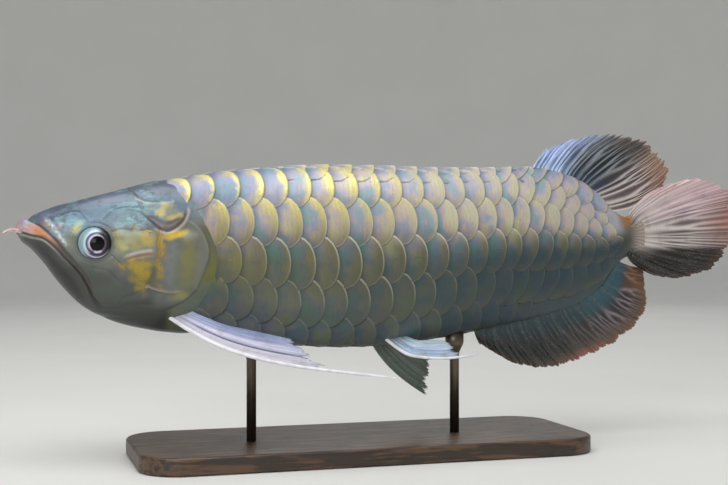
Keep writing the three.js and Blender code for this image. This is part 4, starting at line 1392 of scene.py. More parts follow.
def lay_pieces(name, layout_rows, blank, seed):
    """Lays a blank at each row of a layout and stains every point by its place on the body."""
    layout = bpy.data.meshes.new(name + "_layout")
    layout.from_pydata([row["place"] for row in layout_rows], [], [])
    stretch = layout.attributes.new("stretch", "FLOAT_VECTOR", "POINT")
    stretch.data.foreach_set("vector", [value for row in layout_rows for value in row["stretch"]])
    for key in ("heading", "extra", "root_x", "root_turn", "half_long", "half_turn"):
        write_attribute(layout, key, [row[key] for row in layout_rows])
    start = bpy.data.objects.new(name + "_start", layout)
    bpy.context.collection.objects.link(start)
    piece = laying.applied(name, start, {
        "Bed": bed, "Blank": blank, "Lift": scale_lift, "Size spread": 0.03,
        "Turn spread": 0.02, "Seed": seed, "Finish": scale_finish.material})
    mesh = piece.data
    place_x = column(mesh, "root_x") + column(mesh, "along") * column(mesh, "half_long")
    turn = column(mesh, "root_turn") + column(mesh, "across") * column(mesh, "half_turn")
    share = np.abs(turn)
    nape = soft_step(place_x, -50, -78) * soft_step(share, 0.34, 0.22)
    # The upper rows painted as lit by the light from above: brighter hues, stronger pale rims, less
    # painted shadow, and more gloss.
    lit = soft_step(share, 0.56, 0.40) * soft_step(share, 0.02, 0.10) * (1 - 0.6 * nape)
    cream_line = hump(place_x + 12, 62) * hump(share - 0.58, 0.15)
    for key, values in (
        ("stain", flank_colours(place_x, turn)),
        ("rim_stain", rim_colours(place_x, turn)),
        ("gold", gold_leaf(place_x, turn)),
        ("nape", nape),
        ("light_share", lit),
        ("smooth_share", soft_step(share, 0.60, 0.76)),
        ("line_share", 0.05 + 0.45 * lit + 0.34 * cream_line),
        ("down", column(mesh, "across") * np.sign(column(mesh, "root_turn"))),
    ):
        write_attribute(mesh, key, values)
    add_bake_map(mesh, place_x, turn)
    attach(piece, "root")


scale_finish = Finish("scale_lacquer", Coat_Roughness=0.12)
edge, along, down, gilt, nape, light_share = map(
    scale_finish.attribute, ("edge", "along", "down", "gold", "nape", "light_share"))
plain_share = 1 - scale_finish.attribute("smooth_share") * 0.75
drift = scale_finish.noise(52, 2)
patchy = scale_finish.noise(230, 3)
fleck = scale_finish.noise(1300, 3)
hue_place = along * 0.36 + (drift - 0.5) * 2.0 + (patchy - 0.5) * 0.7 + 0.40
hues = scale_finish.node("ShaderNodeValToRGB", {"stops": [
    (0.20, tint(0x7FB2B4)), (0.38, tint(0x96A8CA)), (0.54, tint(0xC4B2C8)),
    (0.70, tint(0xE2C4B0)), (0.88, tint(0xDEDAA4))]}, {"Fac": hue_place}, "Color")
growth = along * 30 + down * down * 7 + patchy * 10
growth_lines = growth.sine().rising(-0.2, 1.0) * along.rising(-0.2, 0.5)
growth_lines = growth_lines * patchy.rising(0.40, 0.62)
middle = scale_finish.mix(scale_finish.attribute("stain", "Color"), hues, 0.6, "SOFT_LIGHT")
middle = scale_finish.stained(
    scale_finish.mix(middle, hues, 0.34 * light_share),
    # Olive over the lower part of each scale: partly its colour, partly painted shade.
    (0x5C5A48, 0.42 * down.rising(0.15, 0.95) * (1 - nape)),
    (0x4A565C, 0.14 * growth_lines),
)
warmth = along * 0.62 + edge * 0.38 - down * 0.16 + (patchy - 0.5) * 0.5 + (drift - 0.5) * 0.7
warmth = warmth - nape * 0.26
rim_share = warmth.rising(0.30, 0.98) * plain_share
leaf_share = gilt * (warmth + nape * 0.2 + (fleck - 0.5) * 0.5).rising(0.50, 0.95)
# A thin pale line along the upper rear edge of each scale: partly the rim's colour, partly a
# painted highlight.
pale_rim_and_highlight = edge.rising(0.90, 0.96) * along.rising(0.0, 0.5) * (1 - 0.6 * down.rising(-0.2, 0.6))
pale_rim_and_highlight = pale_rim_and_highlight * scale_finish.attribute("line_share")
shadow = along.rising(0.20, -0.15) * (0.42 - 0.12 * light_share) * plain_share
scale_finish.surface("Base Color", scale_finish.stained(
    scale_finish.mix(middle, scale_finish.attribute("rim_stain", "Color"), 0.85 * rim_share),
    (0xF4E684, 0.78 * leaf_share),
    (0x5A5A4C, 0.12 * growth_lines * rim_share),
    (0xF4EFDC, pale_rim_and_highlight),
    (0x2A3438, shadow),
    (0x4C4A34, 0.35 * edge.rising(0.965, 1.0) * plain_share),
))
scale_finish.surface("Metallic", 0.10 + 0.35 * leaf_share)
scale_finish.surface("Roughness", 0.30 + 0.22 * patchy)
scale_finish.surface("Coat Weight", 0.06 + 0.22 * light_share)
scale_finish.relief(growth_lines * 0.3 + fleck * 0.3 + patchy * 0.9, 0.2 * mm)

bed = flat_form()
plate = scale_blank()
laying = laying_tree()
lay_pieces("scales_back", scale_layout((0,), (0,)), plate, 3)
lay_pieces("scales_left", scale_layout(range(6), (1,)), plate, 11)
lay_pieces("scales_right", scale_layout(range(6), (-1,)), plate, 23)
bpy.data.objects.remove(plate)


# Lateral line
# A small bony tube on each scale of the third row down from the back's middle row, which opens
# in a pore at its rear end. Each is cast from one blank and stands on the scale that carries it.
tube_rings = 9
tube_steps = 10
tube_place = 0.42  # of the way from the scale's middle to its rear edge
tube_half_length = 1.8 * mm
tube_half_width = 0.5 * mm
tube_rise = 0.16  # share of the scale's lift


def tube_blank():
    """One tube, closed, seated on the slope of its scale."""
    tilt = np.linspace(0, math.pi, tube_rings + 2)[1:-1]
    angle = np.linspace(0, 2 * math.pi, tube_steps, endpoint=False)
    lean, turn = np.meshgrid(tilt, angle, indexing="ij")
    fat = np.sin(lean) ** 0.7
    p = -np.cos(lean)
    q = fat * np.cos(turn)
    on_scale = tube_place + p * tube_half_length / scale_rear
    seat = root_height + (rear_height - root_height) * (on_scale + 1) / 2 + crown_height * 0.8
    z = seat + tube_rise * fat * np.sin(turn) * (0.75 + 0.25 * p)
    points = np.stack((p, q, z), axis=-1).reshape(-1, 3)
    ends = [(-1, 0, seat[0, 0]), (1, 0, seat[-1, 0])]
    points = np.concatenate((points, np.array(ends)))
    faces = [face[::-1] for face in ring_faces(tube_rings, tube_steps, len(points))]
    blank = new_mesh_object("tube_blank", points, faces, skin_finish)
    write_attribute(blank.data, "along", 0.5 + 0.5 * points[:, 0])
    write_attribute(blank.data, "across", points[:, 1])
    write_attribute(blank.data, "edge", np.full(len(points), 0.9))
    return blank


def tube_layout(side):
    rows = []
    for scale in scale_layout((3,), (side,)):
        x = (scale["root_x"] + tube_place * scale["half_long"]) * mm
        turn = side * row_share(3, x)
        half_turn = tube_half_width / girth_way(x)
        u, v = lay_coordinates(x, turn)
        rows.append({
            **scale, "place": (u, v, 0.0), "root_x": x / mm, "root_turn": turn,
            "half_long": tube_half_length / mm, "half_turn": half_turn,
            "stretch": (tube_half_length / body_length, half_turn / (2 * wrap_span),
                        scale["stretch"][2]),
        })
    return rows


tube = tube_blank()
for name, side in (("left", 1), ("right", -1)):
    lay_pieces(f"lateral_line_{name}", tube_layout(side), tube, 31)
bpy.data.objects.remove(bed)
bpy.data.objects.remove(tube)


# Dorsal fin
# A fan of bony rays that split towards their tips, with thin skin between them that ends in a
# fringe. It is cast in resin, stained and glossed, and let into a slot along the back.
root_sink = 4.5 * mm


def fan_surface(front_x, rear_x, edge_z, rays, lean, bow):
    """Middle surface of a fin on the back or the belly: rays are share, angle, length."""
    up = 1 if rays[0, 1] > 0 else -1

    def surface(u, v):
        base_x = front_x + (rear_x - front_x) * u
        angle = np.radians(smooth(rays, 1, u))
        length = smooth(rays, 2, u) * mm + root_sink
        arch = bow[0] + (bow[1] - bow[0]) * soft_step(u, 0.5, 0.9)
        bulge = up * arch * length * 4 * v * (1 - v)
        x = base_x + length * v * np.cos(angle) - bulge * np.sin(angle)
        z = edge_z(base_x) - up * root_sink + length * v * np.sin(angle) + bulge * np.cos(angle)
        return np.stack((x, middle_y(x) + lean * v * v, z), axis=-1)

    return surface


class Fin:
    """Shape of a fin over its surface: u runs across the rays, v along them.

    film, ridge, ray_width, pleat, ripple and flesh are in millimetres. notch, fringe, split,
    flesh_end and outline are shares of the fin. first_ray is how much stouter the first ray is.
    """

    def __init__(self, surface, rays, columns=16, rows=84, film=0.15, ridge=0.5, ray_width=1.15,
                 split=0.3, notch=((0, 0.05), (1, 0.05)), fringe=0.02, pleat=0.35, ripple=0.8,
                 flesh=1.4, flesh_end=0.16, first_ray=1.5, outline=((0, 1), (1, 1))):
        pad = 0.15
        inner = np.linspace(0, rays - 1, (rays - 1) * columns + 1)
        across = np.concatenate(([-pad, -0.75 * pad, -0.4 * pad], inner,
                                 rays - 1 + pad * np.array((0.4, 0.75, 1))))
        down = np.linspace(0, 1, rows + 1)
        number, share = np.meshgrid(across, down, indexing="ij")
        off_ray = number - np.clip(np.round(number), 0, rays - 1)
        parting = split + 0.06 * np.sin(1.3 * number)
        fork = 0.25 * soft_step(share, parting, parting + 0.3)
        twig = 0.125 * soft_step(share, parting + 0.28, parting + 0.52)
        off_twig = np.abs(np.abs(np.abs(off_ray) - fork) - twig)
        stray = 0.22 * np.sin(1.9 * number) + 0.14 * np.sin(3.7 * number + 1)
        between = np.clip(number * (rays - 1 - number) / (rays - 1), 0, 1)
        self.u = (number + stray * between) / (rays - 1)
        dip = np.interp(self.u, *zip(*notch)) * (2 * np.abs(off_ray)) ** 1.6
        reach = 1 - dip - fringe * 8 * off_twig[:, -1:] + 0.018 * np.sin(2.3 * number) * between
        self.v = share * reach * np.interp(self.u, *zip(*outline))
        self.share = share
        step = 1e-3
        along = (surface(self.u, self.v + step) - surface(self.u, self.v - step)) / (2 * step)
        over = (surface(self.u + step, self.v) - surface(self.u - step, self.v)) / (2 * step)
        normal = unit(np.cross(over, along))
        level = over - unit(along) * np.sum(over * unit(along), axis=-1, keepdims=True)
        pitch = np.linalg.norm(level, axis=-1) / (rays - 1)
        width = np.minimum(ray_width * mm * (1 - 0.5 * share), 0.36 * pitch)
        width = width * (1 - 0.35 * soft_step(share, split, split + 0.5))
        first = soft_step(number, 0.5, 0.2)
        self.ray = np.exp(-(off_twig * pitch / (width * (1 + (first_ray - 1) * first))) ** 2)
        self.tone = 1 + 0.09 * np.sin(4.7 * np.round(number))[..., None]
        self.way = np.linalg.norm(along, axis=-1) * self.v
        half = film + ridge * self.ray * (1 - 0.5 * share) * (1 + (first_ray - 1) * first)
        half = half + flesh * (1 - soft_step(self.v, 0, flesh_end))
        border = np.clip(np.minimum(number + pad, rays - 1 + pad - number) / pad, 0, 1)
        half = half * np.sqrt(np.maximum(1 - (1 - border) ** 2, 0.02))
        half = half * (1 - 0.6 * soft_step(share, 0.94, 1))
        bend_in = np.minimum(pleat * mm, 0.16 * pitch) * np.cos(2 * math.pi * off_ray)
        wave = ripple * mm * np.sin(2 * math.pi * (1.7 * self.u + 0.35 * self.v)) * self.v ** 1.5
        shift = (bend_in * soft_step(self.v, 0.05, 0.4) + wave)[..., None]
        middle = surface(self.u, self.v) + normal * shift
        self.faces_out = (middle + normal * (half * mm)[..., None],
                          middle - normal * (half * mm)[..., None])

    def coloured(self, film, bone, strength):
        """Colours of the skin and, on the rays, of the bone."""
        return film + (bone * self.tone - film) * (strength * self.ray)[..., None]

    def piece(self, name, colours, finish, slot, node):
        """The closed fin, stained and marked with its rays."""
        columns, rows = self.u.shape
        count = columns * rows
        points = np.concatenate([face.reshape(-1, 3) for face in self.faces_out])
        place = np.arange(count).reshape(columns, rows)
        low, right, top, left = place[:-1, :-1], place[1:, :-1], place[1:, 1:], place[:-1, 1:]
        quads = [
            np.stack((low, right, top, left), axis=-1).reshape(-1, 4),
            np.stack((low, left, top, right), axis=-1).reshape(-1, 4) + count,
        ]
        for line in (place[:, 0], place[-1, :], place[::-1, -1], place[0, ::-1]):
            here, on = line[:-1], line[1:]
            quads.append(np.stack((here, here + count, on + count, on), axis=-1))
        made = new_mesh_object(name, points, np.concatenate(quads).tolist(), finish)
        stain = np.tile(colours.reshape(-1, 3), (2, 1))
        write_attribute(made.data, "stain", np.clip(stain, 0, 1))
        write_attribute(made.data, "ray", np.tile(self.ray.ravel(), 2))
        write_attribute(made.data, "way", np.tile(self.way.ravel() / mm, 2))
        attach(made, "root")
        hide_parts(node)


def fin_finish(name, gloss):
    """Glossed resin, stained as thin skin over rays that are banded like bamboo."""
    finish = Finish(name, Coat_Roughness=0.15, Coat_Weight=gloss)
    ray = finish.attribute("ray")
    way = finish.attribute("way")
    cloud = finish.noise(110, 4)
    dots = finish.noise(1500, 3)
    bands = (way * 5.2).sine().rising(0.2, 0.95) * ray.rising(0.35, 0.75)
    finish.surface("Base Color", finish.stained(
        finish.attribute("stain", "Color"),
        (0x2B2A2C, 0.22 * cloud.rising(0.5, 0.72)),
        (0xE9E4E6, 0.20 * dots.rising(0.5, 0.7) * ray),
        (0x3A3434, 0.20 * bands),
    ))
    finish.surface("Roughness", 0.34 + 0.2 * dots)
    finish.relief(dots * 0.5 + cloud * 0.5 - bands * 0.5, 0.15 * mm)
    return finish


# Share of the fin's root, angle in degrees and length in millimetres.
dorsal_rays = np.array([
    (0.00, 46, 17), (0.12, 44, 28), (0.25, 41, 39), (0.50, 34, 53), (0.75, 27, 62),
    (0.90, 24, 57), (1.00, 21, 46),
])
dorsal_front_x = snout_x + 0.792 * body_length
dorsal_rear_x = snout_x + 0.945 * body_length
dorsal_outline = [(0, 1), (0.66, 1), (0.775, 0.955), (0.79, 0.93), (0.80, 1.01), (1, 1.0)]


def dorsal_colours(fin):
    u, v, ray, share = fin.u, fin.v, fin.ray, fin.share
    rear = soft_step(u, 0.62, 0.86)
    high = soft_step(u, 0.3, 0.6) * soft_step(v, 0.45, 0.85)
    film = stained(
        plain(0x5870A8, u),
        (soft_step(u, 0.2, 0.45), 0x12191D),
        (high, 0x2E2A28),
        (rear, 0x5E5054),
        (rear * soft_step(v, 0.5, 0.8), 0x6E4A36),
    )
    bone = stained(
        plain(0xC2D4FF, u),
        (soft_step(u, 0.15, 0.45), 0x858F98),
        (high, 0x5E564F),
        (rear, 0xE9DDD6),
        (rear * soft_step(v, 0.55, 0.9), 0xC9A48C),
    )
    colours = fin.coloured(film, bone, 0.88)
    root_light = soft_step(v, 0.46, 0.12) * soft_step(u, 0.5, 0.32)
    colours = stained(colours, (0.85 * root_light * (0.2 + 0.8 * ray), 0xBFD8F2))
    root_blue = soft_step(v, 0.34, 0.1) * soft_step(u, 0.3, 0.42) * soft_step(u, 0.86, 0.7)
    return stained(
        colours,
        (0.8 * root_blue * (1 - 0.6 * ray), 0x1E3350),
        (0.55 * soft_step(share, 0.92, 0.98) * soft_step(u, 0.3, 0.5), 0x8C726A),
        (0.5 * soft_step(share, 0.88, 0.97) * rear, 0xA87A58),
    )


dark_finish = fin_finish("dark_fin_resin", 0.2)
dorsal = Fin(
    fan_surface(dorsal_front_x, dorsal_rear_x, back_z, dorsal_rays, 5 * mm, (0.07, -0.07)),
    rays=20, notch=((0, 0.16), (0.35, 0.14), (0.6, 0.06), (1, 0.05)), outline=dorsal_outline,
    ray_width=0.95,
)
dorsal.piece("dorsal_fin_skin", dorsal_colours(dorsal), dark_finish, "dark_fin", "dorsal_fin")


# Anal fin
# The like of the dorsal fin under the tail, with a longer root and more rays, cast and stained
# in the same way and let into the belly's rear edge.
anal_rays = np.array([
    (0.00, -60, 10), (0.12, -58, 27), (0.25, -55, 36), (0.50, -47, 41), (0.75, -36, 40),
    (0.90, -24, 37), (1.00, -11, 21),
])
anal_front_x = snout_x + 0.690 * body_length
anal_rear_x = snout_x + 0.955 * body_length


def anal_colours(fin):
    u, v, ray, share = fin.u, fin.v, fin.ray, fin.share
    rear = soft_step(u, 0.35, 0.65)
    film = stained(
        plain(0x171C19, u),
        (rear, 0x24201D),
        (soft_step(v, 0.5, 0.9) * rear, 0x4E3A28),
        (soft_step(v, 0.46, 0.16), 0x1E363C),
        (soft_step(v, 0.5, 0.16) * soft_step(u, 0.6, 0.8), 0x26505C),
    )
    bone = stained(
        plain(0x232923, u),
        (rear, 0x5A5250),
        (soft_step(v, 0.7, 0.95), 0x6A5844),
        (hump(v - 0.55, 0.22) * soft_step(u, 0.62, 0.82), 0x9A8A96),
        (soft_step(v, 0.46, 0.2), 0x2A4246),
    )
    colours = fin.coloured(film, bone, 0.75)
    hem = soft_step(share, 0.78, 0.98)
    return stained(
        colours,
        (0.6 * hem * soft_step(u, 0.2, 0.45), 0x6E4A30),
        (0.6 * hem * hump(u - 0.56, 0.12), 0xA86052),
        (0.6 * soft_step(u, 0.90, 0.98) * soft_step(v, 0.2, 0.6), 0x8A5A32),
        (0.3 * soft_step(share, 0.965, 0.99) * soft_step(u, 0.3, 0.5), 0xC89A78),
    )


anal = Fin(
    fan_surface(anal_front_x, anal_rear_x, belly_z, anal_rays, 4 * mm, (0.06, 0.06)),
    rays=26, columns=14, rows=72, fringe=0.03, pleat=0.4, ray_width=1.0,
)
anal.piece("anal_fin_skin", anal_colours(anal), dark_finish, "dark_fin", "anal_fin")


# Caudal fin
# A round fan of rays from the end of the spine, the widest fin, cast in resin. Its rays are
# stouter at the root, which is set over the tongue of skin that runs on from the tail.
# Angle in degrees and length in millimetres.
caudal_rays = np.array([
    (-58, 26), (-46, 39), (-31, 55), (-18, 70), (-6, 81), (10, 88), (22, 87), (30, 80),
    (39, 66), (46, 54), (52, 46), (56, 40),
])
hub_x = snout_x + 0.976 * body_length
hub_z = eye_level + 0.033 * body_depth
hub_half_height = 12.5 * mm


def caudal_surface(u, v):
    degrees = lowest_ray + (highest_ray - lowest_ray) * u
    angle = np.radians(degrees)
    length = smooth(caudal_rays, 1, degrees) * mm
    root_x = hub_x + 4 * mm * np.cos(angle) - 3 * mm
    root_z = hub_z + hub_half_height * np.sin(angle) / math.sin(math.radians(-lowest_ray))
    bulge = 0.07 * np.sin(angle) * length * 4 * v * (1 - v)
    x = root_x + (hub_x + length * np.cos(angle) - root_x) * v - bulge * np.sin(angle)
    z = root_z + (hub_z + length * np.sin(angle) - root_z) * v + bulge * np.cos(angle)
    return np.stack((x, middle_y(x) - 5 * mm * v * v, z), axis=-1)


def caudal_colours(fin):
    u, v, ray, share = fin.u, fin.v, fin.ray, fin.share
    angle = np.radians(lowest_ray + (highest_ray - lowest_ray) * u)
    reach = hub_half_height / mm * (1 - v) + smooth(caudal_rays, 1, np.degrees(angle)) * v
    # The lower lobe is painted near black: painted shade, as it turns away from the light above.
    low = soft_step(reach * np.sin(angle), -4, -9)
    high = soft_step(u, 0.55, 0.75)
    film = stained(
        plain(0x463B40, u),
        (high, 0xCEAEB8),
        (hump(u - 0.58, 0.12) * soft_step(v, 0.6, 0.9), 0x7A5A54),
        (soft_step(v, 0.34, 0.08), 0x3A3028),
        (low, 0x0C0905),
    )
    bone = stained(
        plain(0xE9DED8, u),
        (high * soft_step(v, 0.35, 0.8), 0xFFE2DF),
        (soft_step(v, 0.14, 0.02), 0xBCAEA4),
        (hump(u - 0.57, 0.12) * soft_step(v, 0.6, 0.9), 0xCDA096),
        (low, 0x1F170D),
    )
    colours = fin.coloured(film, bone, 0.8)
    cream = hump(v - 0.2, 0.12) * hump(u - 0.55, 0.2)
    colours = stained(
        colours,
        (0.4 * cream, 0xDCD2CC),
        (0.4 * high * hump(v - 0.55, 0.3) * (1 - ray), 0x9C84A0),
    )
    root = soft_step(v, 0.15, 0.03)
    colours = stained(
        colours,
        (0.6 * root * (1 - 0.7 * ray), 0x504B38),
        (root * soft_step(u, 0.8, 0.95), 0xA8743C),
    )
    tip = soft_step(share, 0.88, 0.99)
    return stained(
        colours,
        (0.22 * tip * hump(u - 0.6, 0.15), 0xB5624A),
        (0.3 * tip * soft_step(u, 0.7, 0.85), 0xD9B8BC),
        (0.6 * tip * low, 0x4A3320),
    )


red_finish = fin_finish("red_fin_resin", 0.2)
caudal = Fin(
    caudal_surface, rays=caudal_ray_count, columns=18, rows=92, notch=((0, 0.035), (1, 0.035)),
    fringe=0.025, pleat=0.6, ray_width=1.5, split=0.2, flesh=3.2, flesh_end=0.15,
    first_ray=1.3, ripple=1.3,
)
caudal.piece("caudal_fin_skin", caudal_colours(caudal), red_finish, "red_fin", "caudal_fin")


# Pectoral fins
# Long narrow wings behind the gill covers, the left one low, the right one held up. A sheet of
# rays is cast behind a stout leading ray, a tapered white rod that runs on as a thread.
feeler_steps = 64
feeler_sides = 18
ring_phase = 150  # in radians, from a feeler's root to its tip


def on_line(side, places, share):
    """Points of a bent line: X, distance out from the middle, height from the eye, in mm."""
    stops = np.column_stack((np.linspace(0, 1, len(places)), places))
    x = smooth(stops, 1, share) * mm
    y = middle_y(x) + side * smooth(stops, 2, share) * mm
    return np.stack((x, y, eye_level + smooth(stops, 3, share) * mm), axis=-1)


def wing_surface(side, lead, trail):
    """Middle surface of a fin between a leading and a trailing line."""

    def surface(u, v):
        return on_line(side, lead, v) * (1 - u[..., None]) + on_line(side, trail, v) * u[..., None]

    return surface


def feeler_tree():
    """Sweeps a round section along a line, thinner and thinner to a rounded tip."""
    grow = Shaping("grow_feeler")
    line = grow.input("Line", "Geometry")
    root_radius = grow.input("Root radius", "Float")
    tip_radius = grow.input("Tip radius", "Float")
    ring = grow.input("Ring swell", "Float")
    material = grow.input("Finish", "Material")
    curve = grow.node("GeometryNodeMeshToCurve", None, {"Mesh": line})
    factor = grow.node("GeometryNodeSplineParameter", None, None, "Factor")
    end = 1 - factor.rising(0.90, 1.0) * 0.75
    rings = (factor * ring_phase).sine() * ring
    radius = (root_radius + (tip_radius - root_radius) * factor) * end * (1 + rings)
    section = grow.node("GeometryNodeCurvePrimitiveCircle", {"mode": "RADIUS"}, {
        "Resolution": feeler_sides, "Radius": 1.0})
    swept = grow.node("GeometryNodeCurveToMesh", None, {
        "Curve": curve, "Profile Curve": section, "Scale": radius, "Fill Caps": True})
    smoothed = grow.node("GeometryNodeSetShadeSmooth", None, {"Geometry": swept})
    grow.end(smoothed, material)
    return grow


def grow_along(name, side, places, radii, swell, finish):
    """A tapered rod along a bent line."""
    chain = bpy.data.meshes.new(name + "_line")
    points = on_line(side, places, np.linspace(0, 1, feeler_steps))
    chain.from_pydata(points.tolist(), [(i, i + 1) for i in range(feeler_steps - 1)], [])
    start = bpy.data.objects.new(name + "_start", chain)
    bpy.context.collection.objects.link(start)
    grown = grow_feeler.applied(name, start, {
        "Root radius": radii[0] * mm, "Tip radius": radii[1] * mm, "Ring swell": swell,
        "Finish": finish.material})
    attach(grown, "root")
    return grown


def wing_colours(fin):
    u, v, ray, share = fin.u, fin.v, fin.ray, fin.share
    film = stained(
        plain(0xC4C2D6, u),
        (soft_step(u, 0.24, 0.4), 0x8F97CC),
        (soft_step(u, 0.6, 0.95), 0x8A96C0),
        (0.7 * soft_step(v, 0.34, 0.2), 0x98A1A6),
    )
    bone = stained(plain(0xE6E2EC, u), (soft_step(u, 0.45, 0.9), 0xA9B4E0))
    colours = fin.coloured(film, bone, 0.8)
    return stained(
        colours,
        (0.7 * hump(u - 0.33, 0.035) * soft_step(v, 0.26, 0.4), 0x4A4F78),
        (0.5 * hump(u - 0.13, 0.03) * soft_step(v, 0.3, 0.5), 0xD9B8BC),
        (0.4 * soft_step(share, 0.9, 1), 0xC2CADC),
    )


wing_outline = [(0, 0.864), (0.085, 0.864), (0.25, 0.872), (0.5, 0.884), (0.75, 0.92), (1, 1)]
# Side, and the leading and the trailing line of each wing.
pectorals = {
    "left": (-1,
             [(-133, 3, -39), (-127, 8.5, -42.5), (-109, 28, -55), (-87, 37, -65),
              (-53, 45, -73), (5, 56, -80.5)],
             [(-120, 6, -36), (-116, 14, -39), (-95, 20, -48.6), (-80, 20, -52.4), (-68, 21, -55),
              (-54, 23, -58)]),
    "right": (1,
              [(-133, 3, -39), (-127, 8.5, -42.5), (-108, 30, -48), (-84, 41, -50),
               (-48, 51, -50), (2, 61, -49)],
              [(-120, 6, -36), (-116, 14, -39), (-96, 25, -41), (-82, 29, -41), (-70, 32, -40),
               (-57, 35, -39)]),
}
pale_finish = fin_finish("pale_fin_resin", 0.4)
rod_finish = Finish("pale_ray_resin", Coat_Roughness=0.2, Coat_Weight=0.4)
rod_cloud = rod_finish.noise(160, 3)
rod_grain = rod_finish.noise(1500, 2)
rod_finish.surface("Base Color", rod_finish.stained(
    tint(0xEDEBF2), (0xD6D2DE, rod_cloud.rising(0.4, 0.65)), (0xFAFAF6, 0.5 * rod_grain)))
rod_finish.surface("Roughness", 0.32 + 0.16 * rod_grain)
rod_finish.relief(rod_grain, 0.08 * mm)
grow_feeler = feeler_tree()
for name, (side, lead, trail) in pectorals.items():
    wing = Fin(
        wing_surface(side, lead, trail), rays=7, columns=24, rows=110, notch=((0, 0.03), (1, 0.03)),
        pleat=0.5, ray_width=1.5, split=0.4, flesh=1.3, flesh_end=0.3, first_ray=1.2, ripple=0.4,
        outline=wing_outline,
    )
    wing.piece(f"pectoral_skin_{name}", wing_colours(wing), pale_finish, "pale_fin",
               f"pectoral_fin_{name}")
    grow_along(f"pectoral_ray_{name}", side, lead, (1.4, 0.85), 0.015, rod_finish)


# Pelvic fins
# A pair of short wings under the belly, made like the pectoral fins. The left one trails back,
# white and blue, and the right one hangs lower and is painted dark, as painted shade on the far
# side.
pelvic_outline = [(0, 0.89), (0.05, 0.896), (0.5, 0.92), (1, 1)]
pelvics = {
    "left": (-1,
             [(5, 3, -53), (10, 7, -59), (21, 18, -68.9), (32, 21, -71.8), (48, 24, -72.6),
              (68, 28, -70.5)],
             [(18, 3, -52), (22, 7, -57.5), (30, 14, -61.5), (36, 16, -61.8), (42, 17, -61.8),
              (49, 18, -62.2)]),
    "right": (1,
              [(1, 4, -54), (6, 8, -60), (13, 15, -70), (24, 20, -81.5), (37, 23, -92),
               (52, 25, -101.8)],
              [(16, 4, -54), (21, 8, -60), (31, 12, -66), (38, 14, -69), (44, 15, -72.5),
               (51, 16, -77)]),
}


def pelvic_colours(fin, dark):
    u, v, ray = fin.u, fin.v, fin.ray
    # The right fin is painted dark grey-green: painted shade on the far side.
    if dark:
        film = stained(plain(0x6E7C72, u), (soft_step(v, 0.5, 0.2), 0x56645E))
        return fin.coloured(film, plain(0x8A968C, u), 0.5)
    film = stained(
        plain(0x7FA6D8, u),
        (soft_step(u, 0.55, 0.9), 0x7FB5C0),
        (soft_step(v, 0.4, 0.2), 0x5C6F72),
    )
    bone = stained(plain(0xDDE8F6, u), (soft_step(v, 0.38, 0.2), 0x8FA0A4))
    return fin.coloured(film, bone, 0.8)


for name, (side, lead, trail) in pelvics.items():
    wing = Fin(
        wing_surface(side, lead, trail), rays=6, columns=24, rows=72, notch=((0, 0.04), (1, 0.05)),
        fringe=0.03, pleat=0.4, ridge=0.45, ray_width=1.2, split=0.4, flesh=1.1, flesh_end=0.3,
        first_ray=1.2, ripple=0.4, outline=pelvic_outline if side < 0 else ((0, 1), (1, 1)),
    )
    wing.piece(f"pelvic_skin_{name}", pelvic_colours(wing, side > 0), pale_finish, "pale_fin",
               f"pelvic_fin_{name}")
grow_along("pelvic_ray_left", -1, pelvics["left"][1], (1.2, 0.7), 0.015, rod_finish)


# Barbels
# Two soft feelers at the tip of the lower jaw, thick at the root and pointed, cast with a wire
# inside. Each grows along its own bent line.
barbel_lines = {
    "left": (-1, [(-205, 4, 5.0), (-211, 6.5, 7), (-216, 9, 7.3), (-220.2, 12, 5.4)]),
    "right": (1, [(-205, 4, 5.0), (-209, 9, 5.6), (-208.5, 14, 3.6), (-206, 17.8, 0.7)]),
}
feeler_finish = Finish("feeler_resin", Coat_Roughness=0.2, Coat_Weight=0.3)
feeler_cloud = feeler_finish.noise(300, 3)
feeler_grain = feeler_finish.noise(1500, 2)
feeler_finish.surface("Base Color", feeler_finish.stained(
    tint(0xD2A8AC),
    (0xE4C8BE, feeler_cloud.rising(0.35, 0.65)),
    (0x8E6C74, 0.3 * feeler_grain.rising(0.5, 0.7)),
))
feeler_finish.surface("Roughness", 0.35 + 0.15 * feeler_cloud)
feeler_finish.relief(feeler_grain, 0.1 * mm)
for name, (side, places) in barbel_lines.items():
    feeler = grow_along(f"feeler_{name}", side, places, (1.5, 0.7), 0.03, feeler_finish)
    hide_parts(f"barbel_{name}")


# Display stand
# A flat base of dark oiled wood with softly rounded edges, and two turned steel rods, browned,
# that are glued into it. Each rod widens into a small cup that carries the belly.
base_size = (290 * mm, 110 * mm)
base_thickness = 11 * mm
base_corner = 26 * mm
edge_round = 2 * mm
corner_steps = 20
edge_steps = 6
rod_radius = 3 * mm
rod_sides = 48
rod_sink = 6 * mm
cup_radius = 6 * mm
cup_start = 11 * mm  # how far under the belly a rod begins to widen
cup_swell = 9 * mm  # height over which it widens
cup_steps = 12
cup_bite = 4 * mm  # how far the cup reaches into the belly's form
rod_places = {"front": -72 * mm, "rear": 62 * mm}


def plate_outline(inset):
    """Corners of a rounded plate, drawn in by an inset."""
    radius = base_corner - inset
    places = []
    for turn, (sx, sy) in enumerate(((1, 1), (-1, 1), (-1, -1), (1, -1))):
        centre = (sx * (base_size[0] / 2 - base_corner), sy * (base_size[1] / 2 - base_corner))
        for step in range(corner_steps + 1):
            angle = math.pi / 2 * (turn + step / corner_steps)
            places.append((
                centre[0] + radius * math.cos(angle),
                centre[1] + radius * math.sin(angle),
            ))
    return places


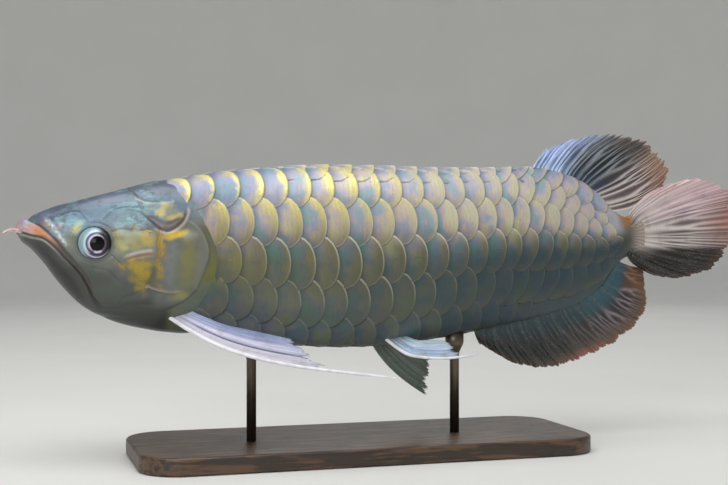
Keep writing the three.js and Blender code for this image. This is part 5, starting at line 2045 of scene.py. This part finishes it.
def plate_shape():
    levels = []
    for step in range(edge_steps + 1):
        angle = math.pi / 2 * step / edge_steps
        levels.append((edge_round * (1 - math.sin(angle)), edge_round * (1 - math.cos(angle))))
    levels += [(inset, base_thickness - height) for inset, height in reversed(levels)]
    points = [(x, y, height) for inset, height in levels for x, y in plate_outline(inset)]
    points += [(0, 0, 0), (0, 0, base_thickness)]
    steps = len(plate_outline(0))
    faces = [face[::-1] for face in ring_faces(len(levels), steps, len(points))]
    return points, faces


wood = Finish("oiled_wood", Coat_Roughness=0.25, Coat_Weight=0.25)
figure = wood.noise(3.2, 4, wood.stretched((3, 26, 26)), 0.6)
pores = wood.noise(9, 4, wood.stretched((6, 90, 90)), 0.7)
year_lines = (figure * 34).sine()
wood.surface("Base Color", wood.stained(
    tint(0x33251B),
    (0x5A412C, year_lines.rising(-0.7, 0.9)),
    (0x1B1410, 0.7 * pores.rising(0.52, 0.68)),
))
wood.surface("Roughness", 0.38 + 0.25 * pores)
wood.relief(year_lines * 0.3 - pores.rising(0.5, 0.7), 0.12 * mm)
base = new_mesh_object("oiled_base", *plate_shape(), wood)
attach(base, "root")
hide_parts("stand_base")

steel = Finish("browned_steel", Metallic=1.0)
turning = steel.noise(1.0, 3, steel.stretched((40, 40, 2600)))
tarnish = steel.noise(24, 3)
steel.surface("Base Color", steel.mix(tint(0x6A6054), tint(0x544A40), tarnish.rising(0.35, 0.7)))
steel.surface("Roughness", 0.26 + 0.22 * tarnish + 0.1 * turning)
steel.relief(turning, 0.05 * mm)
for name, x in rod_places.items():
    foot = base_thickness - rod_sink
    rim = belly_z(x) + cup_bite
    profile = [(0, foot), (rod_radius, foot)]
    for step in range(cup_steps + 1):
        share = step / cup_steps
        swell = (cup_radius - rod_radius) * soft_step(share, 0.0, 1.0)
        profile.append((rod_radius + swell, belly_z(x) - cup_start + cup_swell * share))
    profile += [(cup_radius, rim), (0, rim)]
    points, faces = turned_shape(profile, rod_sides)
    places = np.array(points) + np.array((x, middle_y(x), 0))
    rod = new_mesh_object(f"steel_rod_{name}", places, faces, steel)
    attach(rod, "root")
    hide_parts(f"stand_rod_{name}")
